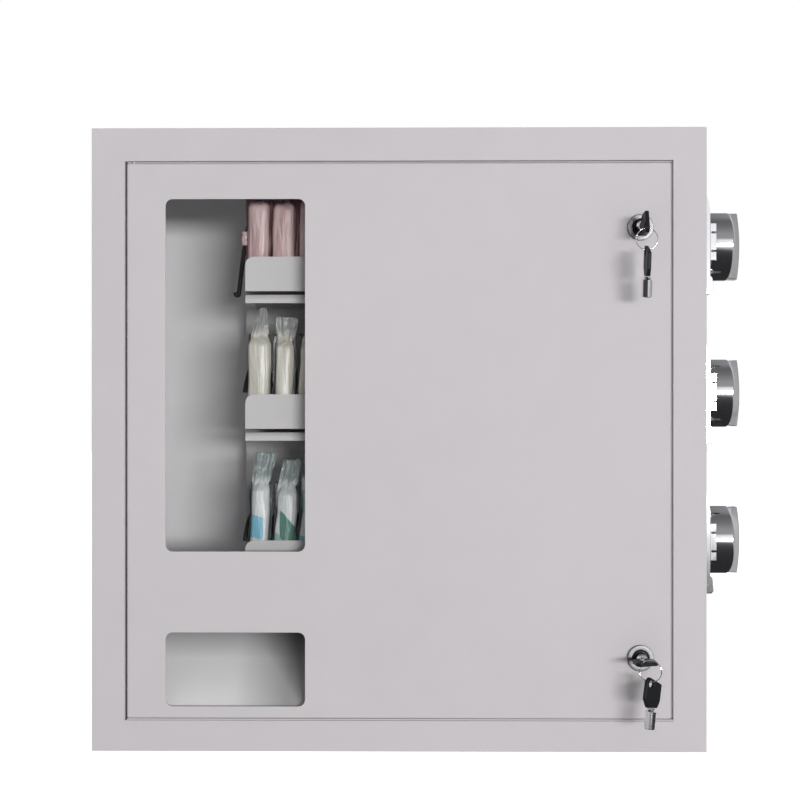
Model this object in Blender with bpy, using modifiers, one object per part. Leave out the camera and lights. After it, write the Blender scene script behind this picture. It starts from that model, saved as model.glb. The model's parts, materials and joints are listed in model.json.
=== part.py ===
# Wall vending cabinet: three spiral tiers, a hinged door with two key locks, three coin mechanisms.
# Metres, +Z up, front towards -Y, origin in the middle of the base.
import bpy
import bmesh
from math import atan2, cos, hypot, pi, radians, sin, sqrt, tan
from mathutils import Matrix, Vector

# Cabinet
CABINET_WIDTH = 0.550
CABINET_HEIGHT = 0.558
CABINET_DEPTH = 0.160
SHEET = 0.0012                # shell, surround, trays, shelves, chute
FIT = 0.0003                  # gap between pieces that touch
OVERRUN = 0.002               # how far every cut runs past its piece
BORDER_SIDE = 0.0297
BORDER_TOP = 0.0295
BORDER_BOTTOM = 0.0275
JAMB_DEPTH = 0.016            # return of the surround round the door opening

# Door
DOOR_GAP = 0.0018
DOOR_SHEET = 0.0015
DOOR_FLANGE = 0.014
DOOR_CORNER = 0.0012
WINDOW_WIDTH = 0.125
WINDOW_HEIGHT = 0.3157
WINDOW_FROM_HINGE_EDGE = 0.0348
WINDOW_BOTTOM = 0.1787
MOUTH_HEIGHT = 0.0661
MOUTH_BOTTOM = 0.0401
OPENING_CORNER = 0.006
PANE_SHEET = 0.003
PANE_LAP = 0.009
STRIP_FOOT = 0.007
STRIP_LAP = 0.006
STRIP_SHEET = 0.001

# Hinge pins
PIN_RADIUS = 0.0018
PIN_HEAD_RADIUS = 0.0026
PIN_HEAD_LENGTH = 0.002
PIN_ENTRY = 0.006             # length inside the door
PIN_FROM_EDGE = 0.0056
PIN_FROM_FACE = 0.0042

# Locks
LOCK_FROM_EDGE = 0.0278
LOCK_UPPER_HEIGHT = 0.4682
LOCK_LOWER_HEIGHT = 0.0841
LOCK_FACE_RADIUS = 0.01165
LOCK_FACE_LENGTH = 0.003
LOCK_THREAD_RADIUS = 0.00925
LOCK_NUT_RADIUS = 0.0135
LOCK_NUT_LENGTH = 0.004
PLUG_RADIUS = 0.0067
PLUG_RECESS = 0.0005
PLUG_STUB_RADIUS = 0.004
KEYWAY_OUTER = 0.0051
KEYWAY_INNER = 0.0035
KEYWAY_DEPTH = 0.0085
CAM_REACH = 0.036
CAM_WIDTH = 0.013
CAM_SHEET = 0.002
CAM_SCREW_RADIUS = 0.0038
CAM_SCREW_LENGTH = 0.0025

# Keys and rings
KEY_BARREL_RADIUS = 0.0048
KEY_BARREL_BORE = 0.0038
KEY_BARREL_LENGTH = 0.012
KEY_NECK_RADIUS = 0.0032
KEY_NECK_LENGTH = 0.006
KEY_HEAD_SHEET = 0.0034
KEY_HEAD_CORNER = 0.0016
KEY_HEAD_WIDTH = 0.0202
KEY_HEAD_LENGTH = 0.0264
KEY_HEAD_SHARES = ((0.307, 0), (0.525, 0.284), (0.485, 0.864), (0.322, 1), (-0.475, 0.780), (-0.446, 0.227),
                   (-0.307, 0))
KEY_HOLE_RADIUS = 0.0032
KEY_HOLE_ACROSS = 0.0036
KEY_HOLE_ALONG = 0.0205
RING_RADIUS = 0.0094
RING_WIRE = 0.00075
RING_DROP_LOWER = 0.006       # from the lower head's middle plane down to the ring's centre
RING_YAW_LOWER = 15
RING_SHIFT_LOWER = 0.0007
SPARE_LEAN = 7.7
SPARE_YAW_LOWER = -38
SPARE_PLAY_LOWER = 0.0009

# Spiral tiers, from the top down
TIER_SHARES = (1, 0, -1)
TIER_NAMES = ("upper", "middle", "lower")
TIER_PITCH = 0.1374
TIER_MIDDLE_HEIGHT = 0.3226
AXIS_FROM_FRONT = 0.066
SPIRAL_PITCH = 0.0228
SPIRAL_RADIUS = 0.0259
SPIRAL_WIRE = 0.0021
SPIRAL_TURNS = 14
SPIRAL_POINTS = 8             # points in one turn
SPIRAL_START = -0.1421
SPIRAL_RUN = 0.009            # straight end into the hub
FINGER_LENGTH = 0.048         # bent-out end of the upper spiral
FINGER_LEAN = 0.0058
FINGER_HOOK = 0.0045
TRAY_LEFT = -0.1398
TRAY_RIGHT = 0.182
TRAY_FRONT = 0.022            # guard face behind the cabinet front
TRAY_BACK_FLANGE = 0.018
GUARD_HEIGHT = 0.0314
GUARD_CORNER = 0.0078
GUARD_DROPS = (0.0142, 0.0024, -0.0018)   # spiral axis to guard top, tier by tier
SHELF_GAP = 0.0032
SHELF_LIP = 0.0062
SHELF_RETURN = 0.012
SHELF_SETBACK = 0.001
FOOT_RADIUS = 0.005           # feet pressed up out of the shelf, under the tray
FOOT_INSET = 0.025
HOOK_INSET = 0.027
HOOK_WIDTH = 0.012
HOOK_DROP = 0.008
BACK_PLATE_LEFT = -0.1511
BACK_PLATE_RIGHT = 0.226
BACK_PLATE_BOTTOM = 0.150
BACK_PLATE_TOP = 0.546
BACK_PLATE_FROM_BACK = 0.030

# Packets
PACKET_COUNT = 12
PACKET_HEIGHTS = (0.108, 0.1098, 0.1105)
PACKET_PINCH = 0.0102         # thickness between the turns
PACKET_BULGE = 0.0162         # thickness in front of the turns
PACKET_PUFF = 0.0128          # thickness above the turns
PACKET_FRONT = 0.0422         # from the spiral axis
PACKET_REAR = 0.0066
PACKET_PINCH_DEPTH = 0.0300
PACKET_SHIFT = 0.0003
PACKET_LEAN_SHARE = 0.14
PACKET_CORE_RADIUS = 0.003
PACKET_CORE_SETBACK = 0.006
CRIMP_HEIGHT = 0.009
CRIMP_SHEET = 0.0016

# Coin mechanisms
PLATE_WIDTH = 0.072
PLATE_HEIGHT = 0.0944
PLATE_TOP_EDGE = 0.0058
PLATE_UPPER = 0.0101
PLATE_LOWER = 0.0133
PLATE_SLOPE = 0.018
PLATE_CHAMFER = 0.0022
PLATE_WAIST = 0.033
COLLAR_RADIUS = 0.017
COLLAR_REACH = 0.0177
CHEEK_REACH = 0.0158
CHEEK_DEPTH = 0.0036
CHEEK_HALF = 0.017
CHEEK_SLOT = 0.0014
CHEEK_SLOT_DEPTH = 0.0045
KNOB_RADIUS = 0.0316
KNOB_REAR = 0.0124
KNOB_RIM = 0.0345
KNOB_DOME = 0.0448
KNOB_POCKET_RADIUS = 0.0182
KNOB_POCKET_FLOOR = 0.018
KNOB_EDGE = 0.0012
GRIP_HALF = 0.0062
GRIP_RECESS_RADIUS = 0.0262
GRIP_RECESS_FLOOR = 0.0285
GRIP_TURN = 12
SHAFT_RADIUS = 0.005
MECH_LENGTH = 0.042
MECH_WIDTH = 0.054
MECH_HEIGHT = 0.074
MECH_EDGE = 0.002
CUTOUT_CLEARANCE = 0.001
COIN_EXIT_WIDTH = 0.006
COIN_EXIT_HEIGHT = 0.030
COIN_EXIT_DEPTH = 0.012
STUD_RADIUS = 0.0018          # studs cast on the plate, through the wall and the mechanism's flange
STUD_INSET = 0.0055
STUD_END = 0.005
HUB_RADIUS = 0.0281
HUB_DISC = 0.006
HUB_BOSS_RADIUS = 0.009
HUB_BOSS_LENGTH = 0.013

# Coins and chute
DUCT_WIDTH = 0.034
DUCT_DEPTH = 0.033
DUCT_SHEET = 0.001
DUCT_TOP = 0.505
DUCT_RIGHT_CLEARANCE = 0.0057
BOX_HEIGHT = 0.080
BOX_WIDTH = 0.150
BOX_DEPTH = 0.100
BOX_SHEET = 0.001
BOX_FROM_FRONT = 0.024
BOX_ROOM = 0.003              # coin duct to coin box
CHUTE_FRONT_HEIGHT = 0.037
CHUTE_BACK_HEIGHT = 0.143
CHUTE_RIGHT_FROM_MOUTH = 0.005
CHUTE_WALL_TOP = 0.131
CHUTE_WALL_FRONT = 0.018
CHUTE_TONGUE_LEFT = -0.222

# Places worked out from the sizes
FRONT = -CABINET_DEPTH / 2
BACK = CABINET_DEPTH / 2
SIDE = CABINET_WIDTH / 2
OPENING_X = SIDE - BORDER_SIDE
OPENING_TOP = CABINET_HEIGHT - BORDER_TOP
DOOR_X = OPENING_X - DOOR_GAP
DOOR_TOP = OPENING_TOP - DOOR_GAP
DOOR_BOTTOM = BORDER_BOTTOM + DOOR_GAP
JAMB_BACK = FRONT + JAMB_DEPTH
WINDOW_LEFT = -DOOR_X + WINDOW_FROM_HINGE_EDGE
WINDOW_RIGHT = WINDOW_LEFT + WINDOW_WIDTH
WINDOW_TOP = WINDOW_BOTTOM + WINDOW_HEIGHT
PIN_X = -DOOR_X + PIN_FROM_EDGE
PIN_Y = FRONT + PIN_FROM_FACE
LOCK_X = DOOR_X - LOCK_FROM_EDGE
AXIS_Y = FRONT + AXIS_FROM_FRONT
AXIS_HEIGHTS = [TIER_MIDDLE_HEIGHT + share * TIER_PITCH for share in TIER_SHARES]
BACK_PLATE_Y = BACK - BACK_PLATE_FROM_BACK
SPIRAL_END = SPIRAL_START + SPIRAL_TURNS * SPIRAL_PITCH
HUB_LEFT = SPIRAL_END + SPIRAL_RUN + FIT
HUB_RIGHT = HUB_LEFT + HUB_DISC + HUB_BOSS_LENGTH
TRAY_Y = FRONT + TRAY_FRONT

STEEL_PAINT = ((0.60, 0.585, 0.59), 0.45, 0.0)
INNER_PAINT = ((0.58, 0.575, 0.58), 0.5, 0.0)
CHROME = ((0.80, 0.80, 0.82), 0.12, 1.0)
STEEL = ((0.55, 0.55, 0.56), 0.35, 1.0)
BLACK_PLASTIC = ((0.02, 0.02, 0.022), 0.45, 0.0)
BLACK_WIRE = ((0.015, 0.015, 0.017), 0.4, 0.0)
CLEAR = ((0.90, 0.92, 0.93), 0.05, 0.0)
WHITE_PLASTIC = ((0.75, 0.75, 0.74), 0.5, 0.0)
PINK_FILM = ((0.60, 0.40, 0.40), 0.4, 0.0)
CREAM_FILM = ((0.68, 0.70, 0.58), 0.4, 0.0)
WHITE_FILM = ((0.62, 0.68, 0.70), 0.4, 0.0)
TIER_FILMS = (PINK_FILM, CREAM_FILM, WHITE_FILM)

for old in list(bpy.data.objects):
    bpy.data.objects.remove(old, do_unlink=True)
parts = bpy.data.collections.new("vending_cabinet")
cutters = bpy.data.collections.new("cutters")
bpy.context.scene.collection.children.link(parts)
bpy.context.scene.collection.children.link(cutters)


# Helpers

def finish_object(name, data, look, place=Matrix.Identity(4), smooth=False):
    piece = bpy.data.objects.new(name, data)
    parts.objects.link(piece)
    piece.matrix_world = place
    if look is None:
        return piece
    colour, roughness, metallic = look
    material = bpy.data.materials.new(name)
    material.use_nodes = True
    shader = material.node_tree.nodes["Principled BSDF"]
    shader.inputs["Base Color"].default_value = (*colour, 1)
    shader.inputs["Roughness"].default_value = roughness
    shader.inputs["Metallic"].default_value = metallic
    material.diffuse_color = (*colour, 1)
    data.materials.append(material)
    if smooth:
        data.shade_smooth()
        data.set_sharp_from_angle(angle=radians(35))
    return piece


def add_box(bm, low, high):
    size = Vector(high) - Vector(low)
    middle = (Vector(high) + Vector(low)) / 2
    bmesh.ops.create_cube(bm, size=1, matrix=Matrix.Translation(middle) @ Matrix.Diagonal((*size, 1)))


def add_rod(bm, start, end, radius, sides=16):
    start, end = Vector(start), Vector(end)
    turn = (end - start).to_track_quat("Z", "Y").to_matrix().to_4x4()
    bmesh.ops.create_cone(bm, cap_ends=True, segments=sides, radius1=radius, radius2=radius,
                          depth=(end - start).length, matrix=Matrix.Translation((start + end) / 2) @ turn)


def boxes(name, corners, look):
    bm = bmesh.new()
    for low, high in corners:
        add_box(bm, low, high)
    mesh = bpy.data.meshes.new(name)
    bm.to_mesh(mesh)
    bm.free()
    return finish_object(name, mesh, look)


def rods(name, runs, look, sides=16):
    bm = bmesh.new()
    for start, end, radius in runs:
        add_rod(bm, start, end, radius, sides)
    mesh = bpy.data.meshes.new(name)
    bm.to_mesh(mesh)
    bm.free()
    return finish_object(name, mesh, look, smooth=True)


def axes_place(origin, across, along):
    # local X runs across, local Y runs along, local Z is their cross product
    across, along = Vector(across).normalized(), Vector(along).normalized()
    out = across.cross(along)
    place = Matrix((across, along, out)).transposed().to_4x4()
    place.translation = Vector(origin)
    return place


def rounded(points, radius, steps=4):
    outline = []
    for index, corner in enumerate(points):
        corner = Vector(corner)
        before = (Vector(points[index - 1]) - corner).normalized()
        after = (Vector(points[(index + 1) % len(points)]) - corner).normalized()
        half = before.angle(after) / 2
        middle = corner + (before + after).normalized() * (radius / sin(half))
        first = corner + before * (radius / tan(half)) - middle
        last = corner + after * (radius / tan(half)) - middle
        sweep = first.angle_signed(last)
        for step in range(steps + 1):
            turned_by = -sweep * step / steps
            outline.append(middle + Vector((first.x * cos(turned_by) - first.y * sin(turned_by),
                                            first.x * sin(turned_by) + first.y * cos(turned_by))))
    return outline


def rectangle(low_x, low_y, high_x, high_y):
    return [(low_x, low_y), (high_x, low_y), (high_x, high_y), (low_x, high_y)]


def sheet_outline(line, thickness):
    # closed section of a bent sheet whose outer face follows the line; the sheet lies on the line's left
    inner = []
    for index, point in enumerate(line):
        here = Vector(point)
        normals = []
        for start, end in ((index - 1, index), (index, index + 1)):
            if start >= 0 and end < len(line):
                run = (Vector(line[end]) - Vector(line[start])).normalized()
                normals.append(Vector((-run.y, run.x)))
        both = sum(normals, Vector((0, 0)))
        inner.append(here + both * (thickness * len(normals) / both.length_squared))
    return [Vector(point) for point in line] + inner[::-1]


def plate(name, outline, thickness, place, look, holes=()):
    # flat outline with holes, made a mesh so that it can be cut
    curve = bpy.data.curves.new(name, "CURVE")
    curve.dimensions = "2D"
    curve.fill_mode = "BOTH"
    curve.extrude = thickness / 2
    for loop in (outline, *holes):
        spline = curve.splines.new("POLY")
        spline.points.add(len(loop) - 1)
        for point, (x, y) in zip(spline.points, loop):
            point.co = (x, y, 0, 1)
        spline.use_cyclic_u = True
    flat = bpy.data.objects.new(name + "_outline", curve)
    parts.objects.link(flat)
    bpy.context.view_layer.update()
    mesh = bpy.data.meshes.new_from_object(flat.evaluated_get(bpy.context.evaluated_depsgraph_get()))
    bpy.data.objects.remove(flat)
    bpy.data.curves.remove(curve)
    bm = bmesh.new()
    bm.from_mesh(mesh)
    bmesh.ops.remove_doubles(bm, verts=bm.verts, dist=FIT / 100)
    bmesh.ops.recalc_face_normals(bm, faces=bm.faces)
    bm.to_mesh(mesh)
    bm.free()
    mesh.materials.clear()
    return finish_object(name, mesh, look, place)


def circle(radius, middle=(0, 0), sides=24):
    return [(middle[0] + radius * cos(2 * pi * step / sides), middle[1] + radius * sin(2 * pi * step / sides))
            for step in range(sides)]


def turned(name, profile, place, look, steps=24, closed=False):
    # profile of (radius, height) points that runs down the outer side, screwed round local Z
    bm = bmesh.new()
    corners = [bm.verts.new((radius, 0, height)) for radius, height in profile]
    for first, second in zip(corners, corners[1:]):
        bm.edges.new((first, second))
    if closed:
        bm.edges.new((corners[-1], corners[0]))
    mesh = bpy.data.meshes.new(name)
    bm.to_mesh(mesh)
    bm.free()
    piece = finish_object(name, mesh, look, place)
    screw = piece.modifiers.new("turn", "SCREW")
    screw.steps = steps
    screw.render_steps = steps
    screw.use_merge_vertices = True
    screw.merge_threshold = FIT / 100
    screw.use_smooth_shade = False
    return piece


def make_mesh(piece):
    # freezes the modifiers into the mesh
    bpy.context.view_layer.update()
    mesh = bpy.data.meshes.new_from_object(piece.evaluated_get(bpy.context.evaluated_depsgraph_get()))
    piece.modifiers.clear()
    piece.data = mesh
    return piece


def boolean(piece, tool, operation="DIFFERENCE"):
    parts.objects.unlink(tool)
    cutters.objects.link(tool)
    tool.hide_render = True
    tool.display_type = "WIRE"
    cut = piece.modifiers.new(tool.name, "BOOLEAN")
    cut.object = tool
    cut.operation = operation
    cut.solver = "EXACT"
    return piece


def bevel(piece, width, segments=2, angle=40):
    edge = piece.modifiers.new("edges", "BEVEL")
    edge.width = width
    edge.segments = segments
    edge.limit_method = "ANGLE"
    edge.angle_limit = radians(angle)
    return piece


def joint_empty(name, place, pieces, parent=None):
    # an empty on the joint's axis; the pieces keep their places
    empty = bpy.data.objects.new(name, None)
    parts.objects.link(empty)
    empty.matrix_world = Matrix.Translation(place)
    bpy.context.view_layer.update()
    if parent:
        empty.parent = parent
        empty.matrix_parent_inverse = parent.matrix_world.inverted()
    bpy.context.view_layer.update()
    for piece in pieces:
        piece.parent = empty
        piece.matrix_parent_inverse = empty.matrix_world.inverted()
    return empty


def front_place(x, y, z):
    # local X to the right, local Y up, local Z towards the viewer
    return axes_place((x, y, z), (1, 0, 0), (0, 0, 1))


def side_place(x, y, z):
    # local X towards the back, local Y up, local Z to the right
    return axes_place((x, y, z), (0, 1, 0), (0, 0, 1))


# Cabinet

def cabinet_shell():
    piece = boxes("cabinet_shell", [((-SIDE, FRONT + SHEET + FIT, 0), (SIDE, BACK - SHEET - FIT, CABINET_HEIGHT))],
                  STEEL_PAINT)
    hollow = boxes("shell_hollow", [((-SIDE + SHEET, FRONT - OVERRUN, SHEET),
                                     (SIDE - SHEET, BACK + OVERRUN, CABINET_HEIGHT - SHEET))], None)
    boolean(piece, hollow)
    for name, height in zip(TIER_NAMES, AXIS_HEIGHTS):
        half_y = MECH_WIDTH / 2 + CUTOUT_CLEARANCE
        half_z = MECH_HEIGHT / 2 + CUTOUT_CLEARANCE
        boolean(piece, boxes("shell_cutout_" + name, [((SIDE - SHEET - OVERRUN, AXIS_Y - half_y, height - half_z),
                                                       (SIDE + OVERRUN, AXIS_Y + half_y, height + half_z))], None))
        holes = [((SIDE - SHEET - OVERRUN, y, z), (SIDE + OVERRUN, y, z), STUD_RADIUS + FIT)
                 for y, z in stud_places(height)]
        boolean(piece, rods("shell_holes_" + name, holes, None, sides=8))
    return piece


def front_frame():
    low, high = (-SIDE, FRONT, 0), (SIDE, FRONT + SHEET, CABINET_HEIGHT)
    piece = boxes("front_frame", [(low, high)], STEEL_PAINT)
    jamb = boxes("frame_jamb", [((-OPENING_X - SHEET, FRONT + SHEET / 2, BORDER_BOTTOM - SHEET),
                                 (OPENING_X + SHEET, JAMB_BACK, OPENING_TOP + SHEET))], None)
    opening = boxes("frame_opening", [((-OPENING_X, FRONT - OVERRUN, BORDER_BOTTOM),
                                       (OPENING_X, JAMB_BACK + OVERRUN, OPENING_TOP))], None)
    boolean(piece, jamb, "UNION")
    boolean(piece, opening)
    reach = SHEET + OVERRUN
    pins = [((PIN_X, PIN_Y, z - reach), (PIN_X, PIN_Y, z + reach), PIN_RADIUS + FIT)
            for z in (BORDER_BOTTOM, OPENING_TOP)]
    boolean(piece, rods("frame_pin_holes", pins, None, sides=12))
    return piece


def back_panel():
    return boxes("back_panel", [((-SIDE, BACK - SHEET, 0), (SIDE, BACK, CABINET_HEIGHT))], STEEL_PAINT)


def hinge_pin(name, seat, up):
    # headed behind the surround's return and passing through it into the door
    head = seat + up * (SHEET + FIT)
    runs = [(head, head + up * PIN_HEAD_LENGTH, PIN_HEAD_RADIUS),
            (head + up * PIN_HEAD_LENGTH / 2, seat - up * (DOOR_GAP + PIN_ENTRY), PIN_RADIUS)]
    if up < 0:
        # collar that carries the door
        runs.append((seat + FIT, seat + DOOR_GAP - FIT, PIN_HEAD_RADIUS))
    pieces = [rods(name + str(index) if index else name, [((PIN_X, PIN_Y, start), (PIN_X, PIN_Y, end), radius)],
                   None if index else STEEL) for index, (start, end, radius) in enumerate(runs)]
    for other in pieces[1:]:
        boolean(pieces[0], other, "UNION")
    return pieces[0]


# Trays and what carries them

def tray_heights(tier):
    top = AXIS_HEIGHTS[tier] - GUARD_DROPS[tier]
    bottom = top - GUARD_HEIGHT
    return top, bottom


def tray(tier):
    top, bottom = tray_heights(tier)
    rear = BACK_PLATE_Y - FIT
    line = [(TRAY_Y, top), (TRAY_Y, bottom), (rear, bottom), (rear, bottom + TRAY_BACK_FLANGE)]
    middle = (TRAY_LEFT + TRAY_RIGHT) / 2
    piece = plate("tray_" + TIER_NAMES[tier], sheet_outline(line, SHEET), TRAY_RIGHT - TRAY_LEFT,
                  side_place(middle, 0, 0), INNER_PAINT)
    corner = [(TRAY_LEFT - OVERRUN, top - GUARD_CORNER), (TRAY_LEFT - OVERRUN, top + OVERRUN),
              (TRAY_LEFT + GUARD_CORNER, top + OVERRUN)]
    for step in range(9):
        angle = pi / 2 + step * pi / 16
        corner.append((TRAY_LEFT + GUARD_CORNER * (1 + cos(angle)), top - GUARD_CORNER * (1 - sin(angle))))
    boolean(piece, plate("corner_" + TIER_NAMES[tier], corner, 2 * OVERRUN + SHEET, front_place(0, TRAY_Y, 0), None))
    return piece


def hook_places():
    return [TRAY_LEFT + HOOK_INSET, (TRAY_LEFT + TRAY_RIGHT) / 2, TRAY_RIGHT - HOOK_INSET]


def shelf(tier):
    bottom = tray_heights(tier)[1]
    top = bottom - SHELF_GAP
    face = TRAY_Y + SHELF_SETBACK
    rear = BACK_PLATE_Y - FIT
    line = [(rear, top - TRAY_BACK_FLANGE), (rear, top), (face, top), (face, top - SHELF_LIP),
            (face + SHELF_RETURN, top - SHELF_LIP)]
    piece = plate("shelf_" + TIER_NAMES[tier], sheet_outline(line, SHEET), TRAY_RIGHT - TRAY_LEFT,
                  side_place((TRAY_LEFT + TRAY_RIGHT) / 2, 0, 0), INNER_PAINT)
    feet = [((x, y, top - SHEET / 2), (x, y, bottom - FIT), FOOT_RADIUS) for x in hook_places()
            for y in (TRAY_Y + FOOT_INSET, BACK_PLATE_Y - FOOT_INSET)]
    boolean(piece, rods("shelf_feet_" + TIER_NAMES[tier], feet, None, sides=8), "UNION")
    # hooks that pass through the back plate and drop behind it
    behind = BACK_PLATE_Y + SHEET + FIT
    hooks, tips = [], []
    for x in hook_places():
        hooks.append(((x - HOOK_WIDTH / 2, rear - SHEET / 2, top - SHEET), (x + HOOK_WIDTH / 2, behind + SHEET, top)))
        tips.append(((x - HOOK_WIDTH / 2, behind, top - HOOK_DROP), (x + HOOK_WIDTH / 2, behind + SHEET, top - SHEET / 2)))
    boolean(piece, boxes("shelf_hooks_" + TIER_NAMES[tier], hooks, None), "UNION")
    return boolean(piece, boxes("shelf_hook_tips_" + TIER_NAMES[tier], tips, None), "UNION")


def back_plate():
    rear = BACK - SHEET - FIT
    line = [(BACK_PLATE_LEFT, rear), (BACK_PLATE_LEFT, BACK_PLATE_Y), (BACK_PLATE_RIGHT, BACK_PLATE_Y),
            (BACK_PLATE_RIGHT, rear)]
    height = BACK_PLATE_TOP - BACK_PLATE_BOTTOM
    place = Matrix.Translation((0, 0, BACK_PLATE_BOTTOM + height / 2))
    piece = plate("tray_back_plate", sheet_outline(line, SHEET), height, place, INNER_PAINT)
    for tier in range(len(TIER_NAMES)):
        top = tray_heights(tier)[1] - SHELF_GAP - SHEET
        slots = [((x - HOOK_WIDTH / 2 - FIT, BACK_PLATE_Y - OVERRUN, top - HOOK_DROP - FIT),
                  (x + HOOK_WIDTH / 2 + FIT, BACK_PLATE_Y + SHEET + OVERRUN, top + SHEET + FIT)) for x in hook_places()]
        boolean(piece, boxes("hook_slots_" + TIER_NAMES[tier], slots, None))
    return piece


# Chute, coin duct and coin box

def drop_chute():
    left = -SIDE + SHEET + FIT
    right = WINDOW_RIGHT + CHUTE_RIGHT_FROM_MOUTH
    front = FRONT + DOOR_SHEET + 2 * FIT + PANE_SHEET
    rear = BACK - SHEET - FIT
    ramp = sheet_outline([(front, CHUTE_FRONT_HEIGHT), (rear, CHUTE_BACK_HEIGHT)], SHEET)
    piece = plate("drop_chute", ramp, right - left, side_place((left + right) / 2, 0, 0), INNER_PAINT)
    wall_front = FRONT + CHUTE_WALL_FRONT
    wall = boxes("chute_wall", [((right - SHEET, wall_front, SHEET + FIT), (right, rear, CHUTE_WALL_TOP))], None)
    boolean(piece, wall, "UNION")
    # clears the swing of the door's hinge edge
    corner = boxes("chute_corner", [((-SIDE, FRONT, SHEET + FIT), (CHUTE_TONGUE_LEFT, wall_front, CHUTE_WALL_TOP))],
                   None)
    return boolean(piece, corner)


def coin_duct():
    right = SIDE - SHEET - DUCT_RIGHT_CLEARANCE
    left = right - DUCT_WIDTH
    face = AXIS_Y + MECH_WIDTH / 2 + FIT
    line = [(left, face), (left, face + DUCT_DEPTH), (right, face + DUCT_DEPTH), (right, face)]
    line = line[::-1]
    bottom = SHEET + FIT + BOX_HEIGHT + BOX_ROOM
    place = Matrix.Translation((0, 0, (bottom + DUCT_TOP) / 2))
    return plate("coin_duct", sheet_outline(line, DUCT_SHEET), DUCT_TOP - bottom, place, INNER_PAINT)


def coin_box():
    right = SIDE - SHEET - DUCT_RIGHT_CLEARANCE + BOX_SHEET + FIT
    front = FRONT + BOX_FROM_FRONT
    floor = SHEET + FIT
    low = Vector((right - BOX_WIDTH, front, floor))
    high = Vector((right, front + BOX_DEPTH, floor + BOX_HEIGHT))
    piece = boxes("coin_box", [(low, high)], INNER_PAINT)
    wall = Vector((BOX_SHEET, BOX_SHEET, BOX_SHEET))
    hollow = boxes("coin_box_hollow", [(low + wall, high - wall + Vector((0, 0, BOX_SHEET + OVERRUN)))], None)
    return boolean(piece, hollow)


# Coin mechanisms and spirals

def stud_places(height):
    half_y = PLATE_WIDTH / 2 - STUD_INSET
    half_z = PLATE_HEIGHT / 2 - STUD_INSET
    return [(AXIS_Y + sy * half_y, height + sz * half_z) for sy in (-1, 1) for sz in (-1, 1)]


def mech_plate(tier):
    name, height = TIER_NAMES[tier], AXIS_HEIGHTS[tier]
    half = PLATE_HEIGHT / 2
    base = FIT
    section = [(base, -half), (PLATE_LOWER - PLATE_CHAMFER, -half), (PLATE_LOWER, -half + PLATE_CHAMFER),
               (PLATE_LOWER - PLATE_CHAMFER / 2, -PLATE_WAIST), (PLATE_UPPER, -PLATE_WAIST + PLATE_CHAMFER),
               (PLATE_UPPER, half - PLATE_SLOPE), (PLATE_TOP_EDGE, half), (base, half)]
    place = axes_place((SIDE, AXIS_Y, height), (1, 0, 0), (0, 0, 1))
    piece = plate("mech_plate_" + name, section, PLATE_WIDTH, place, CHROME)
    out = axes_place((SIDE, AXIS_Y, height), (0, 1, 0), (0, 0, 1))
    collar = plate("collar_" + name, circle(COLLAR_RADIUS), COLLAR_REACH - PLATE_TOP_EDGE,
                   out @ Matrix.Translation((0, 0, (COLLAR_REACH + PLATE_TOP_EDGE) / 2)), None)
    boolean(piece, collar, "UNION")
    cheek_y = AXIS_Y - PLATE_WIDTH / 2
    cheek = boxes("cheek_" + name, [((SIDE + PLATE_TOP_EDGE, cheek_y + FIT, height - CHEEK_HALF),
                                     (SIDE + CHEEK_REACH, cheek_y + CHEEK_DEPTH, height + CHEEK_HALF))], None)
    boolean(piece, cheek, "UNION")
    slots = [((SIDE + CHEEK_REACH - CHEEK_SLOT_DEPTH, cheek_y - OVERRUN, height + side * CHEEK_HALF / 2 - CHEEK_SLOT / 2),
              (SIDE + CHEEK_REACH + OVERRUN, cheek_y + CHEEK_DEPTH + OVERRUN / 2,
               height + side * CHEEK_HALF / 2 + CHEEK_SLOT / 2)) for side in (-1, 1)]
    boolean(piece, boxes("slots_" + name, slots, None))
    studs = [((SIDE + PLATE_TOP_EDGE / 2, y, z), (SIDE - SHEET - STUD_END, y, z), STUD_RADIUS)
             for y, z in stud_places(height)]
    boolean(piece, rods("plate_studs_" + name, studs, None, sides=8), "UNION")
    bore = ((SIDE - OVERRUN, AXIS_Y, height), (SIDE + COLLAR_REACH + OVERRUN, AXIS_Y, height), SHAFT_RADIUS + FIT)
    return boolean(piece, rods("plate_bore_" + name, [bore], None))


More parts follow.
